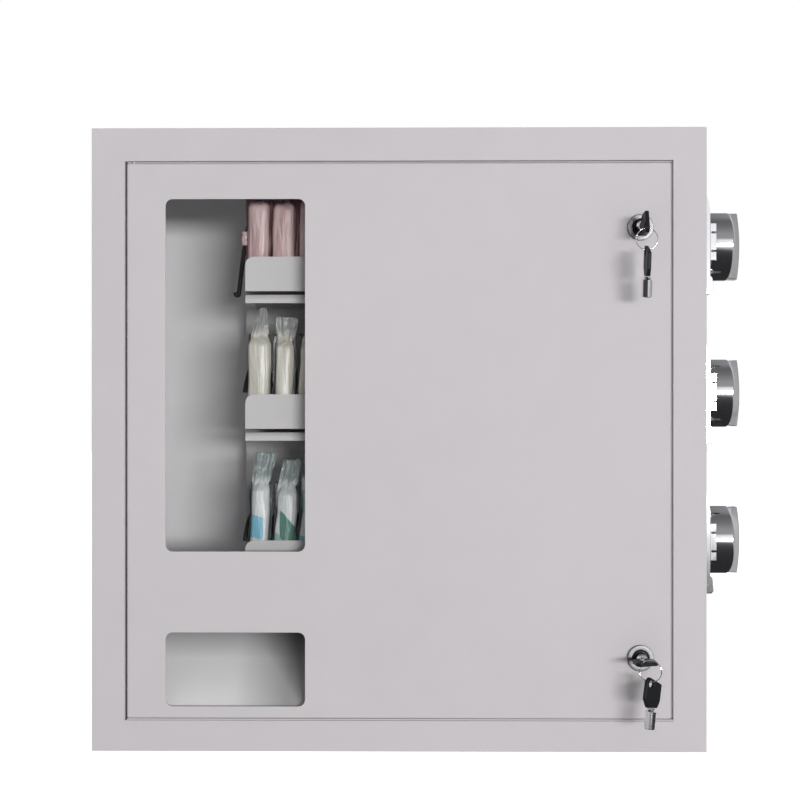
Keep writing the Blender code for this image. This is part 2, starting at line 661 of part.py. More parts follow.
def mech_body(tier):
    name, height = TIER_NAMES[tier], AXIS_HEIGHTS[tier]
    low = (SIDE - MECH_LENGTH, AXIS_Y - MECH_WIDTH / 2, height - MECH_HEIGHT / 2)
    high = (SIDE, AXIS_Y + MECH_WIDTH / 2, height + MECH_HEIGHT / 2)
    piece = make_mesh(bevel(boxes("mech_body_" + name, [(low, high)], STEEL), MECH_EDGE, 1))
    wall = SIDE - SHEET - FIT
    flange = boxes("mech_flange_" + name, [((wall - SHEET, AXIS_Y - PLATE_WIDTH / 2, height - PLATE_HEIGHT / 2),
                                            (wall, AXIS_Y + PLATE_WIDTH / 2, height + PLATE_HEIGHT / 2))], None)
    boolean(piece, flange, "UNION")
    holes = [((wall - SHEET - OVERRUN, y, z), (SIDE, y, z), STUD_RADIUS + FIT) for y, z in stud_places(height)]
    boolean(piece, rods("flange_holes_" + name, holes, None, sides=8))
    bore = rods("mech_bore_" + name, [((SIDE - MECH_LENGTH - OVERRUN, AXIS_Y, height),
                                       (SIDE + OVERRUN, AXIS_Y, height), SHAFT_RADIUS + FIT)], None)
    boolean(piece, bore)
    middle = SIDE - MECH_LENGTH / 2
    exit_low = (middle - COIN_EXIT_WIDTH / 2, AXIS_Y + MECH_WIDTH / 2 - COIN_EXIT_DEPTH, height - MECH_HEIGHT / 2 + MECH_EDGE)
    exit_high = (middle + COIN_EXIT_WIDTH / 2, AXIS_Y + MECH_WIDTH / 2 + OVERRUN,
                 height - MECH_HEIGHT / 2 + MECH_EDGE + COIN_EXIT_HEIGHT)
    return boolean(piece, boxes("coin_exit_" + name, [(exit_low, exit_high)], None))


def knob(tier):
    name, height = TIER_NAMES[tier], AXIS_HEIGHTS[tier]
    out = axes_place((SIDE, AXIS_Y, height), (0, 1, 0), (0, 0, 1))
    rise = KNOB_DOME - KNOB_RIM
    dome_steps = 4
    profile = []
    for step in range(dome_steps + 1):
        share = step / dome_steps
        profile.append((KNOB_RADIUS * share, KNOB_DOME - rise * share ** 2.6))
    profile += [(KNOB_RADIUS, KNOB_REAR + KNOB_EDGE), (KNOB_RADIUS - KNOB_EDGE, KNOB_REAR),
                (KNOB_POCKET_RADIUS, KNOB_REAR), (KNOB_POCKET_RADIUS, KNOB_POCKET_FLOOR), (0, KNOB_POCKET_FLOOR)]
    piece = make_mesh(turned("knob_" + name, profile, out, CHROME, steps=24))
    reach = sqrt(GRIP_RECESS_RADIUS ** 2 - GRIP_HALF ** 2)
    start = atan2(reach, GRIP_HALF)
    turn = Matrix.Rotation(radians(GRIP_TURN), 4, "Z")
    for side in (0, 1):
        outline = []
        for step in range(9):
            angle = -start + 2 * start * step / 8
            outline.append((GRIP_RECESS_RADIUS * cos(angle), GRIP_RECESS_RADIUS * sin(angle)))
        depth = KNOB_DOME + OVERRUN - GRIP_RECESS_FLOOR
        place = out @ turn @ Matrix.Rotation(side * pi, 4, "Z") @ Matrix.Translation((0, 0, GRIP_RECESS_FLOOR + depth / 2))
        boolean(piece, plate("recess_" + name + str(side), outline, depth, place, None))
    return piece


def drive_shaft(tier):
    name, height = TIER_NAMES[tier], AXIS_HEIGHTS[tier]
    start = HUB_LEFT + HUB_DISC + FIT
    return rods("drive_shaft_" + name, [((start, AXIS_Y, height), (SIDE + KNOB_POCKET_FLOOR - FIT, AXIS_Y, height),
                                         SHAFT_RADIUS)], STEEL)


def spiral_hub(tier):
    name, height = TIER_NAMES[tier], AXIS_HEIGHTS[tier]
    out = axes_place((HUB_LEFT, AXIS_Y, height), (0, 1, 0), (0, 0, 1))
    profile = [(SHAFT_RADIUS + FIT, HUB_DISC + HUB_BOSS_LENGTH), (HUB_BOSS_RADIUS, HUB_DISC + HUB_BOSS_LENGTH),
               (HUB_BOSS_RADIUS, HUB_DISC), (HUB_RADIUS, HUB_DISC), (HUB_RADIUS, 0), (0, 0)]
    profile = [(0, HUB_DISC), (SHAFT_RADIUS + FIT, HUB_DISC)] + profile
    return turned("spiral_hub_" + name, profile, out, WHITE_PLASTIC, steps=20)


def spiral_points(tier):
    points = []
    height = AXIS_HEIGHTS[tier]
    finger = FINGER_LENGTH if tier == 0 else 0
    if finger:
        front = AXIS_Y - SPIRAL_RADIUS
        foot = (SPIRAL_START - FINGER_LEAN, front, height - finger)
        points.append((foot[0] - FINGER_HOOK, front, foot[2] + FINGER_HOOK))
        points.append((foot[0] - FINGER_HOOK / 3, front, foot[2]))
        points.append((foot[0] + FINGER_HOOK / 9, front, foot[2] + FINGER_HOOK))
    for step in range(SPIRAL_TURNS * SPIRAL_POINTS + 1):
        angle = 2 * pi * step / SPIRAL_POINTS
        points.append((SPIRAL_START + SPIRAL_PITCH * angle / (2 * pi), AXIS_Y - SPIRAL_RADIUS * cos(angle),
                       height + SPIRAL_RADIUS * sin(angle)))
    x, y, z = points[-1]
    points.append((x + SPIRAL_RUN - 2 * SPIRAL_WIRE, y, z + SPIRAL_WIRE))
    points.append((x + SPIRAL_RUN, y, z + SPIRAL_WIRE))
    return points


def spiral(tier):
    curve = bpy.data.curves.new("spiral_" + TIER_NAMES[tier], "CURVE")
    curve.dimensions = "3D"
    curve.bevel_depth = SPIRAL_WIRE
    curve.bevel_resolution = 1
    curve.use_fill_caps = True
    points = spiral_points(tier)
    spline = curve.splines.new("POLY")
    spline.points.add(len(points) - 1)
    for point, place in zip(spline.points, points):
        point.co = (*place, 1)
    print("least gap of", curve.name, "to itself in mm:", round(least_gap(points) * 1000, 2))
    return finish_object(curve.name, curve, BLACK_WIRE)


def least_gap(points):
    # between stretches that lie at least half a turn apart along the wire
    near = SPIRAL_POINTS // 2
    gaps = []
    for index, point in enumerate(points):
        for other in points[index + near:]:
            gaps.append((Vector(point) - Vector(other)).length)
    return min(gaps) - 2 * SPIRAL_WIRE


# Packets

def packet_offset(rise):
    # the middle of the gap between two turns at a height above the axis
    held = max(-SPIRAL_RADIUS, min(SPIRAL_RADIUS, rise))
    return SPIRAL_PITCH / 2 + PACKET_SHIFT + PACKET_LEAN_SHARE * held


def packet_levels(tier):
    # rows of (height above the axis, thickness in front, thickness behind, depth share)
    floor = tray_heights(tier)[1] + SHEET + FIT - AXIS_HEIGHTS[tier]
    top = floor + PACKET_HEIGHTS[tier]
    above = SPIRAL_RADIUS + 2 * SPIRAL_WIRE
    levels = [(floor, PACKET_PINCH, PACKET_PINCH / 2, 0.9)]
    if floor + CRIMP_HEIGHT < -SPIRAL_RADIUS:
        levels.append((floor + CRIMP_HEIGHT / 2, PACKET_BULGE, PACKET_PINCH, 1))
    return levels + [(-SPIRAL_RADIUS + SPIRAL_WIRE, PACKET_BULGE, PACKET_PINCH, 1),
                     (SPIRAL_RADIUS, PACKET_BULGE, PACKET_PINCH, 1),
                     (above, PACKET_BULGE, PACKET_PUFF, 1),
                     (top - 2 * CRIMP_HEIGHT, PACKET_PINCH, PACKET_PINCH / 2, 0.92),
                     (top - CRIMP_HEIGHT, CRIMP_SHEET, CRIMP_SHEET, 0.9),
                     (top, CRIMP_SHEET, CRIMP_SHEET, 0.9)]


def add_packet(bm, tier, number):
    loops = []
    for rise, bulge, pinch, depth_share in packet_levels(tier):
        x = SPIRAL_START + number * SPIRAL_PITCH + packet_offset(rise)
        middle = AXIS_Y + (PACKET_REAR - PACKET_FRONT) / 2
        reach = (PACKET_FRONT + PACKET_REAR) / 2 * depth_share
        waist = AXIS_Y - PACKET_PINCH_DEPTH
        front, rear = middle - reach, middle + reach
        bulge_y = (front + waist) / 2
        ring = [(-bulge / 4, front), (bulge / 4, front), (bulge / 2, bulge_y), (pinch / 2, waist),
                (pinch / 2, rear), (-pinch / 2, rear), (-pinch / 2, waist), (-bulge / 2, bulge_y)]
        loops.append([bm.verts.new((x + side, y, AXIS_HEIGHTS[tier] + rise)) for side, y in ring])
    count = len(loops[0])
    for below, above in zip(loops, loops[1:]):
        for index in range(count):
            after = (index + 1) % count
            bm.faces.new((below[index], below[after], above[after], above[index]))
    bm.faces.new(loops[0][::-1])
    bm.faces.new(loops[-1])


def packets(tier):
    bm = bmesh.new()
    for number in range(PACKET_COUNT):
        add_packet(bm, tier, number)
    name = "packets_" + TIER_NAMES[tier]
    mesh = bpy.data.meshes.new(name)
    bm.to_mesh(mesh)
    bm.free()
    piece = finish_object(name, mesh, TIER_FILMS[tier], smooth=True)
    # core inside the spiral that makes one piece of the row
    start = SPIRAL_START + SPIRAL_PITCH / 2
    end = start + (PACKET_COUNT - 1) * SPIRAL_PITCH
    core = rods("packet_core_" + TIER_NAMES[tier], [((start, AXIS_Y - PACKET_CORE_SETBACK, AXIS_HEIGHTS[tier]),
                                                     (end, AXIS_Y - PACKET_CORE_SETBACK, AXIS_HEIGHTS[tier]),
                                                     PACKET_CORE_RADIUS)], None, sides=6)
    return boolean(piece, core, "UNION")


# Door

def door_panel():
    low = Vector((-DOOR_X, FRONT, DOOR_BOTTOM))
    high = Vector((DOOR_X, FRONT + DOOR_FLANGE, DOOR_TOP))
    piece = make_mesh(bevel(boxes("door_panel", [(low, high)], STEEL_PAINT), DOOR_CORNER, 1))
    inset = Vector((DOOR_SHEET, DOOR_SHEET, DOOR_SHEET))
    hollow = boxes("door_hollow", [(low + inset, high - inset + Vector((0, DOOR_SHEET + OVERRUN, 0)))], None)
    boolean(piece, hollow)
    middle = FRONT + DOOR_SHEET / 2
    for name, low_z, high_z in (("window", WINDOW_BOTTOM, WINDOW_TOP),
                                ("mouth", MOUTH_BOTTOM, MOUTH_BOTTOM + MOUTH_HEIGHT)):
        outline = rounded(rectangle(WINDOW_LEFT, low_z, WINDOW_RIGHT, high_z), OPENING_CORNER)
        boolean(piece, plate("door_" + name, outline, DOOR_SHEET + 2 * OVERRUN, front_place(0, middle, 0), None))
    bores = [((LOCK_X, FRONT - OVERRUN, z), (LOCK_X, FRONT + DOOR_SHEET + OVERRUN, z), LOCK_THREAD_RADIUS + FIT)
             for z in (LOCK_UPPER_HEIGHT, LOCK_LOWER_HEIGHT)]
    boolean(piece, rods("door_lock_holes", bores, None, sides=24))
    reach = DOOR_SHEET + OVERRUN
    pins = [((PIN_X, PIN_Y, z - reach), (PIN_X, PIN_Y, z + reach), PIN_RADIUS + FIT)
            for z in (DOOR_BOTTOM, DOOR_TOP)]
    return boolean(piece, rods("door_pin_holes", pins, None, sides=12))


def window_pane():
    outline = rounded(rectangle(WINDOW_LEFT - PANE_LAP, WINDOW_BOTTOM - PANE_LAP,
                                WINDOW_RIGHT + PANE_LAP, WINDOW_TOP + PANE_LAP), OPENING_CORNER)
    y = FRONT + DOOR_SHEET + FIT + PANE_SHEET / 2
    return plate("window_pane", outline, PANE_SHEET, front_place(0, y, 0), CLEAR)


def pane_strip(name, edge, side):
    # folded strip behind the door's sheet that laps over the pane's edge
    inner = FRONT + DOOR_SHEET + FIT
    behind = inner + PANE_SHEET + FIT + STRIP_SHEET
    foot = edge + side * (FIT + STRIP_SHEET)
    line = [(edge - side * STRIP_LAP, behind), (foot, behind), (foot, inner + STRIP_SHEET),
            (foot + side * STRIP_FOOT, inner + STRIP_SHEET)]
    height = WINDOW_HEIGHT + 2 * PANE_LAP
    place = Matrix.Translation((0, 0, WINDOW_BOTTOM + WINDOW_HEIGHT / 2))
    return plate(name, sheet_outline(line if side < 0 else line[::-1], STRIP_SHEET), height, place, STEEL)


# Locks, keys and rings

def lock_body(name, height):
    out = front_place(LOCK_X, FRONT, height)
    rear = -(JAMB_DEPTH - FIT)
    bore = PLUG_RADIUS + FIT
    step = KNOB_EDGE
    profile = [(bore, LOCK_FACE_LENGTH), (LOCK_FACE_RADIUS - step, LOCK_FACE_LENGTH),
               (LOCK_FACE_RADIUS, LOCK_FACE_LENGTH - step), (LOCK_FACE_RADIUS, FIT), (LOCK_THREAD_RADIUS, FIT),
               (LOCK_THREAD_RADIUS, rear), (bore, rear)]
    return turned("lock_body_" + name, profile, out, CHROME, steps=20, closed=True)


def lock_nut(name, height):
    y = FRONT + DOOR_SHEET + FIT + LOCK_NUT_LENGTH / 2
    return plate("lock_nut_" + name, circle(LOCK_NUT_RADIUS, sides=6), LOCK_NUT_LENGTH,
                 front_place(LOCK_X, y, height), STEEL, holes=(circle(LOCK_THREAD_RADIUS + FIT),))


def lock_plug(name, height):
    out = front_place(LOCK_X, FRONT, height)
    face = LOCK_FACE_LENGTH - PLUG_RECESS
    rear = -(JAMB_DEPTH - FIT)
    stub = rear - 2 * FIT - CAM_SHEET
    profile = [(0, face), (KEYWAY_INNER, face), (KEYWAY_INNER, face - KEYWAY_DEPTH),
               (KEYWAY_OUTER, face - KEYWAY_DEPTH), (KEYWAY_OUTER, face), (PLUG_RADIUS, face), (PLUG_RADIUS, rear),
               (PLUG_STUB_RADIUS, rear), (PLUG_STUB_RADIUS, stub), (0, stub)]
    return turned("lock_plug_" + name, profile, out, BLACK_PLASTIC, steps=16)


def lock_cam(name, height):
    half = CAM_WIDTH / 2
    outline = rounded(rectangle(-half, -half, half, CAM_REACH), half * 0.9)
    y = JAMB_BACK + FIT + CAM_SHEET / 2
    return plate("lock_cam_" + name, outline, CAM_SHEET, front_place(LOCK_X, y, height), STEEL,
                 holes=(circle(PLUG_STUB_RADIUS + FIT, sides=20),))


def cam_screw(name, height):
    start = JAMB_BACK + 2 * FIT + CAM_SHEET
    return rods("cam_screw_" + name, [((LOCK_X, start, height), (LOCK_X, start + CAM_SCREW_LENGTH, height),
                                       CAM_SCREW_RADIUS)], STEEL)


def key_pieces(name, place):
    # local X across the head, local Y from the barrel towards the head's far end, origin at the head's foot
    outline = rounded([(KEY_HEAD_WIDTH * across, KEY_HEAD_LENGTH * along) for across, along in KEY_HEAD_SHARES],
                      KEY_HEAD_CORNER, 2)
    hole = circle(KEY_HOLE_RADIUS, (KEY_HOLE_ACROSS, KEY_HOLE_ALONG), 16)
    head = plate(name + "_head", outline, KEY_HEAD_SHEET, place, BLACK_PLASTIC, holes=(hole,))
    down = place @ Matrix.Rotation(-pi / 2, 4, "X")
    tip = -(FIT + KEY_NECK_LENGTH + KEY_BARREL_LENGTH)
    collar = -(FIT + KEY_NECK_LENGTH)
    profile = [(0, -FIT), (KEY_NECK_RADIUS, -FIT), (KEY_NECK_RADIUS, collar + FIT), (KEY_BARREL_RADIUS, collar - FIT),
               (KEY_BARREL_RADIUS, tip), (KEY_BARREL_BORE, tip), (KEY_BARREL_BORE, collar - FIT - KEYWAY_DEPTH / 4),
               (0, collar - FIT - KEYWAY_DEPTH / 4)]
    barrel = turned(name + "_barrel", profile, down, CHROME, steps=16)
    return [head, barrel]


def inserted_key(name, height, across):
    # the head stands where the barrel's tip is a little short of the keyway's floor
    reach = LOCK_FACE_LENGTH - PLUG_RECESS - KEYWAY_DEPTH + FIT
    foot = FRONT - reach - KEY_BARREL_LENGTH - KEY_NECK_LENGTH - FIT
    place = axes_place((LOCK_X, foot, height), across, (0, -1, 0))
    return key_pieces("inserted_key_" + name, place), place


def key_ring(name, centre, across):
    # a ring in the upright plane that holds the across direction
    normal = Vector(across).cross(Vector((0, 0, 1)))
    turn = normal.to_track_quat("Z", "Y").to_matrix().to_4x4()
    bpy.ops.mesh.primitive_torus_add(major_radius=RING_RADIUS, minor_radius=RING_WIRE, major_segments=24,
                                     minor_segments=6)
    ring = bpy.context.active_object
    mesh = ring.data
    bpy.data.objects.remove(ring)
    return finish_object("key_ring_" + name, mesh, CHROME, Matrix.Translation(centre) @ turn)


def spare_key(name, hang, across, lean, play):
    # hangs from the wire's middle line at the hang point
    across = Vector(across).normalized()
    up = Vector((0, 0, 1))
    along = (up * cos(radians(lean)) + across * sin(radians(lean))).normalized()
    side = (across * cos(radians(lean)) - up * sin(radians(lean))).normalized()
    drop = KEY_HOLE_RADIUS - RING_WIRE - play
    hole = Vector(hang) - up * drop
    foot = hole - side * KEY_HOLE_ACROSS - along * KEY_HOLE_ALONG
    return key_pieces("spare_key_" + name, axes_place(foot, side, along))


def lock_set(name, height, head_across, ring_across, ring_drop, shift, hang, spare_across, play, door):
    plug = lock_plug(name, height)
    cam = lock_cam(name, height)
    screw = cam_screw(name, height)
    key, place = inserted_key(name, height, head_across)
    turn = joint_empty("lock_turn_" + name, (LOCK_X, FRONT, height), [plug, cam, screw, *key], door)
    hole = place @ Vector((KEY_HOLE_ACROSS, KEY_HOLE_ALONG, 0))
    ring_across = Vector(ring_across).normalized()
    start = hole - ring_across * shift - Vector((0, 0, hang))
    reach = sqrt(RING_RADIUS ** 2 - ring_drop ** 2)
    centre = start + ring_across * reach - Vector((0, 0, ring_drop))
    ring = key_ring(name, centre, ring_across)
    ring_swing = joint_empty("ring_swing_" + name, start, [ring], turn)
    low = centre - Vector((0, 0, RING_RADIUS))
    spare = spare_key(name, low, spare_across, -SPARE_LEAN, play)
    joint_empty("spare_swing_" + name, low, spare, ring_swing)
    print("lock", name, "ring pivot", [round(v, 5) for v in start], "spare pivot", [round(v, 5) for v in low])


# Assembly

def build():
    cabinet_shell()
    front_frame()
    back_panel()
    hinge_pin("hinge_pin_upper", OPENING_TOP, 1)
    hinge_pin("hinge_pin_lower", BORDER_BOTTOM, -1)
    back_plate()
    for tier in range(len(TIER_NAMES)):
        tray(tier)
        shelf(tier)
    drop_chute()
    coin_duct()
    coin_box()
    for tier in range(len(TIER_NAMES)):
        mech_plate(tier)
        mech_body(tier)
    for tier, name in enumerate(TIER_NAMES):
        axis = (SIDE, AXIS_Y, AXIS_HEIGHTS[tier])
        joint_empty("knob_turn_" + name, axis, [knob(tier), drive_shaft(tier), spiral_hub(tier), spiral(tier)])
        joint_empty("packet_slide_" + name, axis, [packets(tier)])
    door_pieces = [door_panel(), window_pane(), pane_strip("pane_strip_left", WINDOW_LEFT - PANE_LAP, -1),
                   pane_strip("pane_strip_right", WINDOW_RIGHT + PANE_LAP, 1)]
    for name, height in (("upper", LOCK_UPPER_HEIGHT), ("lower", LOCK_LOWER_HEIGHT)):
        door_pieces += [lock_body(name, height), lock_nut(name, height)]
    door = joint_empty("door_turn", (PIN_X, PIN_Y, DOOR_BOTTOM), door_pieces)
    yaw = radians(RING_YAW_LOWER)
    spare_yaw = radians(SPARE_YAW_LOWER)
    # the upper ring hangs on the lower edge of its hole, the lower one stands askew in its hole
    lock_set("upper", LOCK_UPPER_HEIGHT, (0, 0, -1), (1, 0, 0), RING_RADIUS, 0, KEY_HOLE_RADIUS - RING_WIRE - FIT,
             (0, 1, 0), FIT, door)
    lock_set("lower", LOCK_LOWER_HEIGHT, (-1, 0, 0), (cos(yaw), -sin(yaw), 0), RING_DROP_LOWER, RING_SHIFT_LOWER, 0,
             (-cos(spare_yaw), sin(spare_yaw), 0), SPARE_PLAY_LOWER, door)


build()
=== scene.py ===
import json
import random
from math import cos, pi, radians, sin, sqrt, tan
import bmesh
import bpy
from mathutils import Matrix, Vector, noise


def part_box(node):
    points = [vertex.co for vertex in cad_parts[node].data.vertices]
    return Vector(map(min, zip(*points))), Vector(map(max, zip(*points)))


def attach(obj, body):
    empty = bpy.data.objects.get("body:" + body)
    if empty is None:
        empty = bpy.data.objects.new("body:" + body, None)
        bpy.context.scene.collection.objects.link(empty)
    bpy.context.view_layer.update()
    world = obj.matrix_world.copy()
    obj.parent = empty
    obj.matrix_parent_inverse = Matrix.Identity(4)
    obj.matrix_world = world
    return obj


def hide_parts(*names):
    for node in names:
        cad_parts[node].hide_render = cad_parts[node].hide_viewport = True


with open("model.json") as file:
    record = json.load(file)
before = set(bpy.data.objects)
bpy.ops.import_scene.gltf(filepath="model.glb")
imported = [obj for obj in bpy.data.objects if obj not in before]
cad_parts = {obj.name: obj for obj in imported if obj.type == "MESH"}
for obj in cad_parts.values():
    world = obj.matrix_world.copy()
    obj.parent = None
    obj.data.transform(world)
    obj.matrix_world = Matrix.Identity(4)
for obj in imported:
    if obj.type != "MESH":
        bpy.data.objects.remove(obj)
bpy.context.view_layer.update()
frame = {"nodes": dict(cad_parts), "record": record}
cadNodes = frame["nodes"]
bodyOf = {node: body for body, nodes in frame["record"]["behaviour"]["bodies"].items() for node in nodes}
slotOf = {row["node"]: row["material_slot"] for row in frame["record"]["subparts"]}
tiers = ("upper", "middle", "lower")
print("frame loaded:", len(cadNodes), "nodes")


# Node graphs

white = (1, 1, 1)
black = (0, 0, 0)


class Sock:
    # an output socket that takes part in sums, or with no socket a start for nodes without inputs
    def __init__(self, tree, socket=None):
        self.tree = tree
        self.socket = socket

    def node(self, kind, out, settings, **inputs):
        # an input is named as the node shows it, or i and its number
        made = self.tree.nodes.new(kind)
        for key, value in settings.items():
            if key == "stops":
                ramp = made.color_ramp
                while len(ramp.elements) < len(value):
                    ramp.elements.new(1)
                for stop, (place, colour) in zip(ramp.elements, value):
                    stop.position = place
                    stop.color = (*colour, 1)
            else:
                setattr(made, key, value)
        for key, value in inputs.items():
            numbered = key[0] == "i" and key[1:].isdigit()
            feed(self.tree, made.inputs[int(key[1:]) if numbered else key.replace("_", " ")], value)
        return Sock(self.tree, made.outputs[out])

    def maths(self, operation, first, second):
        return self.node("ShaderNodeMath", 0, {"operation": operation}, i0=first, i1=second)

    def __add__(self, other):
        return self.maths("ADD", self, other)

    def __radd__(self, other):
        return self.maths("ADD", other, self)

    def __sub__(self, other):
        return self.maths("SUBTRACT", self, other)

    def __rsub__(self, other):
        return self.maths("SUBTRACT", other, self)

    def __mul__(self, other):
        return self.maths("MULTIPLY", self, other)

    def __rmul__(self, other):
        return self.maths("MULTIPLY", other, self)

    def noise(self, scale, detail, roughness, distortion=0.0):
        return self.node("ShaderNodeTexNoise", 0, {}, Vector=self, Scale=scale, Detail=detail,
                         Roughness=roughness, Distortion=distortion)

    def times(self, other):
        # each colour or direction on its own
        return self.node("ShaderNodeVectorMath", 0, {"operation": "MULTIPLY"}, i0=self, i1=other)

    def ramp(self, low, high, colourLow=black, colourHigh=white):
        stops = ((low, colourLow), (high, colourHigh))
        return self.node("ShaderNodeValToRGB", 0, {"stops": stops}, Fac=self)

    def split(self, axis):
        return self.node("ShaderNodeSeparateXYZ", axis, {}, Vector=self)

    def mix(self, first, second):
        # first where this socket is 0, second where it is 1
        return self.node("ShaderNodeMix", 2, {"data_type": "RGBA"}, i0=self, i6=first, i7=second)

    def bump(self, strength, distance, normal=None):
        inputs = {"Strength": strength, "Distance": distance, "Height": self}
        if normal:
            inputs["Normal"] = normal
        return self.node("ShaderNodeBump", 0, {}, **inputs)


def feed(tree, socket, value):
    if isinstance(value, Sock):
        tree.links.new(value.socket, socket)
    elif isinstance(value, (tuple, list)) and len(value) == 3 and socket.type == "RGBA":
        socket.default_value = (*value, 1)
    else:
        socket.default_value = value


class Look:
    # a material with its shader and the coordinates that its textures use
    def __init__(self, name, **fixed):
        self.material = bpy.data.materials.new(name)
        self.material.use_nodes = True
        self.tree = self.material.node_tree
        self.shader = self.tree.nodes["Principled BSDF"]
        self.place = Sock(self.tree).node("ShaderNodeTexCoord", "Object", {})
        self.set(**fixed)

    def set(self, **values):
        for key, value in values.items():
            feed(self.tree, self.shader.inputs[key.replace("_", " ")], value)

    def attribute(self, name):
        return self.place.node("ShaderNodeAttribute", "Fac", {"attribute_name": name})


paintShape = {"gloss": 0.28, "dust": (0.42, 0.40, 0.38), "dustShare": 0.06, "peel": 900.0, "peelFine": 3.1,
              "peelStrength": 0.16, "peelDepth": 0.00012}


def paintLook(name, colour, roughness=0.52, mottle=0.02, paintedShade=None):
    # fine peel on broad cloudy tones, and with a painted shade greyer towards the top or the right of a deep
    # place, where less light falls
    paint = paintShape
    look = Look(name, Metallic=0.0, Specular_IOR_Level=paint["gloss"])
    place = look.place
    broad = place.noise(5.0, 4.0, 0.55, 0.6)
    cloud = place.noise(26.0, 3.0, 0.5)
    speck = place.noise(1400.0, 2.0, 0.6)
    shade = (broad * 0.6 + cloud * 0.4).ramp(0.36, 0.64)
    darker = tuple(c * (1 - mottle) for c in colour)
    lighter = tuple(min(1, c * (1 + mottle * 0.6)) for c in colour)
    base = shade.mix(darker, lighter)
    dust = speck.ramp(0.62, 0.72)
    base = (dust * paint["dustShare"]).mix(base, paint["dust"])
    # painted shade: each ramp darkens the colour where less light reaches
    for way, (low, high, least) in (paintedShade or {}).items():
        # a ramp starts at 0, so places from side to side get half a metre added
        run, shift = (place.split(2), 0) if way == "rise" else (place.split(0) + 0.5, 0.5)
        base = base.times(run.ramp(low + shift, high + shift, white, (least,) * 3))
    rough = roughness + (cloud - 0.5) * 0.10 + (speck - 0.5) * 0.08
    peel = place.noise(paint["peel"], 2.5, 0.5)
    fine = place.noise(paint["peel"] * paint["peelFine"], 2.0, 0.5)
    normal = (peel * 0.8 + fine * 0.35).bump(paint["peelStrength"], paint["peelDepth"])
    look.set(Base_Color=base, Roughness=rough, Normal=normal, IOR=1.45)
    return look.material


def metalLook(name, colour, roughness, scratch, streak, wear):
    # fine scratches along streak, and duller smears where wear is high
    look = Look(name, Metallic=1.0)
    place = look.place
    broad = place.noise(60.0, 4.0, 0.6)
    lines = place.times(streak).noise(900.0, 3.0, 0.6)
    smear = place.noise(190.0, 5.0, 0.65, 1.2).ramp(0.45, 0.75)
    dull = tuple(c * 0.72 for c in colour)
    base = (smear * wear * 2.0).mix(colour, dull)
    rough = roughness + (lines - 0.5) * scratch + (broad - 0.5) * scratch * 0.7 + smear * wear * 0.25
    normal = lines.bump(0.05 + scratch * 0.3, 0.00003)
    look.set(Base_Color=base, Roughness=rough, Normal=normal)
    return look.material


def plasticLook(name, colour, roughness, grain, gloss=0.5):
    # matt grit with a few paler scuffs
    look = Look(name, Metallic=0.0, IOR=1.48, Specular_IOR_Level=gloss)
    place = look.place
    grit = place.noise(grain, 3.0, 0.6)
    scuff = place.times((1.0, 3.0, 0.6)).noise(240.0, 5.0, 0.7, 1.6).ramp(0.55, 0.8)
    tone = place.noise(45.0, 3.0, 0.5)
    lighter = tuple(min(1, c * 1.5 + 0.012) for c in colour)
    base = (scuff * 0.5 + (tone - 0.4) * 0.4).mix(colour, lighter)
    rough = roughness + (grit - 0.5) * 0.16 + scuff * 0.1
    look.set(Base_Color=base, Roughness=rough, Normal=grit.bump(0.18, 0.00004))
    return look.material


def paneLook(name):
    # clear sheet with a thin haze and wiping marks
    look = Look(name, Metallic=0.0, IOR=1.49)
    haze = look.place.noise(22.0, 5.0, 0.6, 0.8).ramp(0.45, 0.8)
    wipe = look.place.times((1.0, 1.0, 0.25)).noise(130.0, 4.0, 0.6).ramp(0.5, 0.8)
    look.set(Base_Color=(0.20, 0.21, 0.21), Roughness=0.04 + haze * 0.05 + wipe * 0.04,
             Alpha=0.012 + haze * 0.010)
    return look.material


innerColour = (0.54, 0.53, 0.535)
looks = {
    "cabinet_paint": paintLook("cabinetPaint", (0.585, 0.559, 0.574), 0.58, 0.022),
    "inner_paint": paintLook("innerPaint", innerColour),
    "plain_zinc": metalLook("plainZinc", (0.56, 0.56, 0.57), 0.38, 0.18, (1, 1, 0.2), 0.25),
    "chrome": metalLook("chromePlate", (0.86, 0.86, 0.88), 0.07, 0.05, (1, 1, 1), 0.06),
    "bright_steel": metalLook("brightSteel", (0.60, 0.60, 0.61), 0.28, 0.16, (1, 1, 0.3), 0.15),
    "mechanism_metal": metalLook("mechanismMetal", (0.50, 0.50, 0.50), 0.42, 0.15, (1, 0.4, 1), 0.3),
    "black_wire": plasticLook("wireCoat", (0.005, 0.005, 0.0055), 0.50, 1300.0, 0.22),
    "lock_black": plasticLook("lockBlack", (0.008, 0.008, 0.009), 0.34, 1600.0, 0.35),
    "key_black": plasticLook("keyBlack", (0.010, 0.010, 0.012), 0.45, 2200.0, 0.28),
    "white_plastic": plasticLook("hubPlastic", (0.70, 0.70, 0.68), 0.45, 1500.0),
    "clear_pane": paneLook("clearPane"),
}
# a lighter copy of the inner paint for the inside walls: painted light
innerLitPaint = paintLook("innerLitPaint", (0.71, 0.70, 0.71))
# the painted shade of each deep place, where less light falls: from where to where it greys, and what is left
# of the colour there
paintedShades = {"chute": {"rise": (0.074, 0.0985, 0.38), "across": (-0.150, -0.102, 0.48)}}
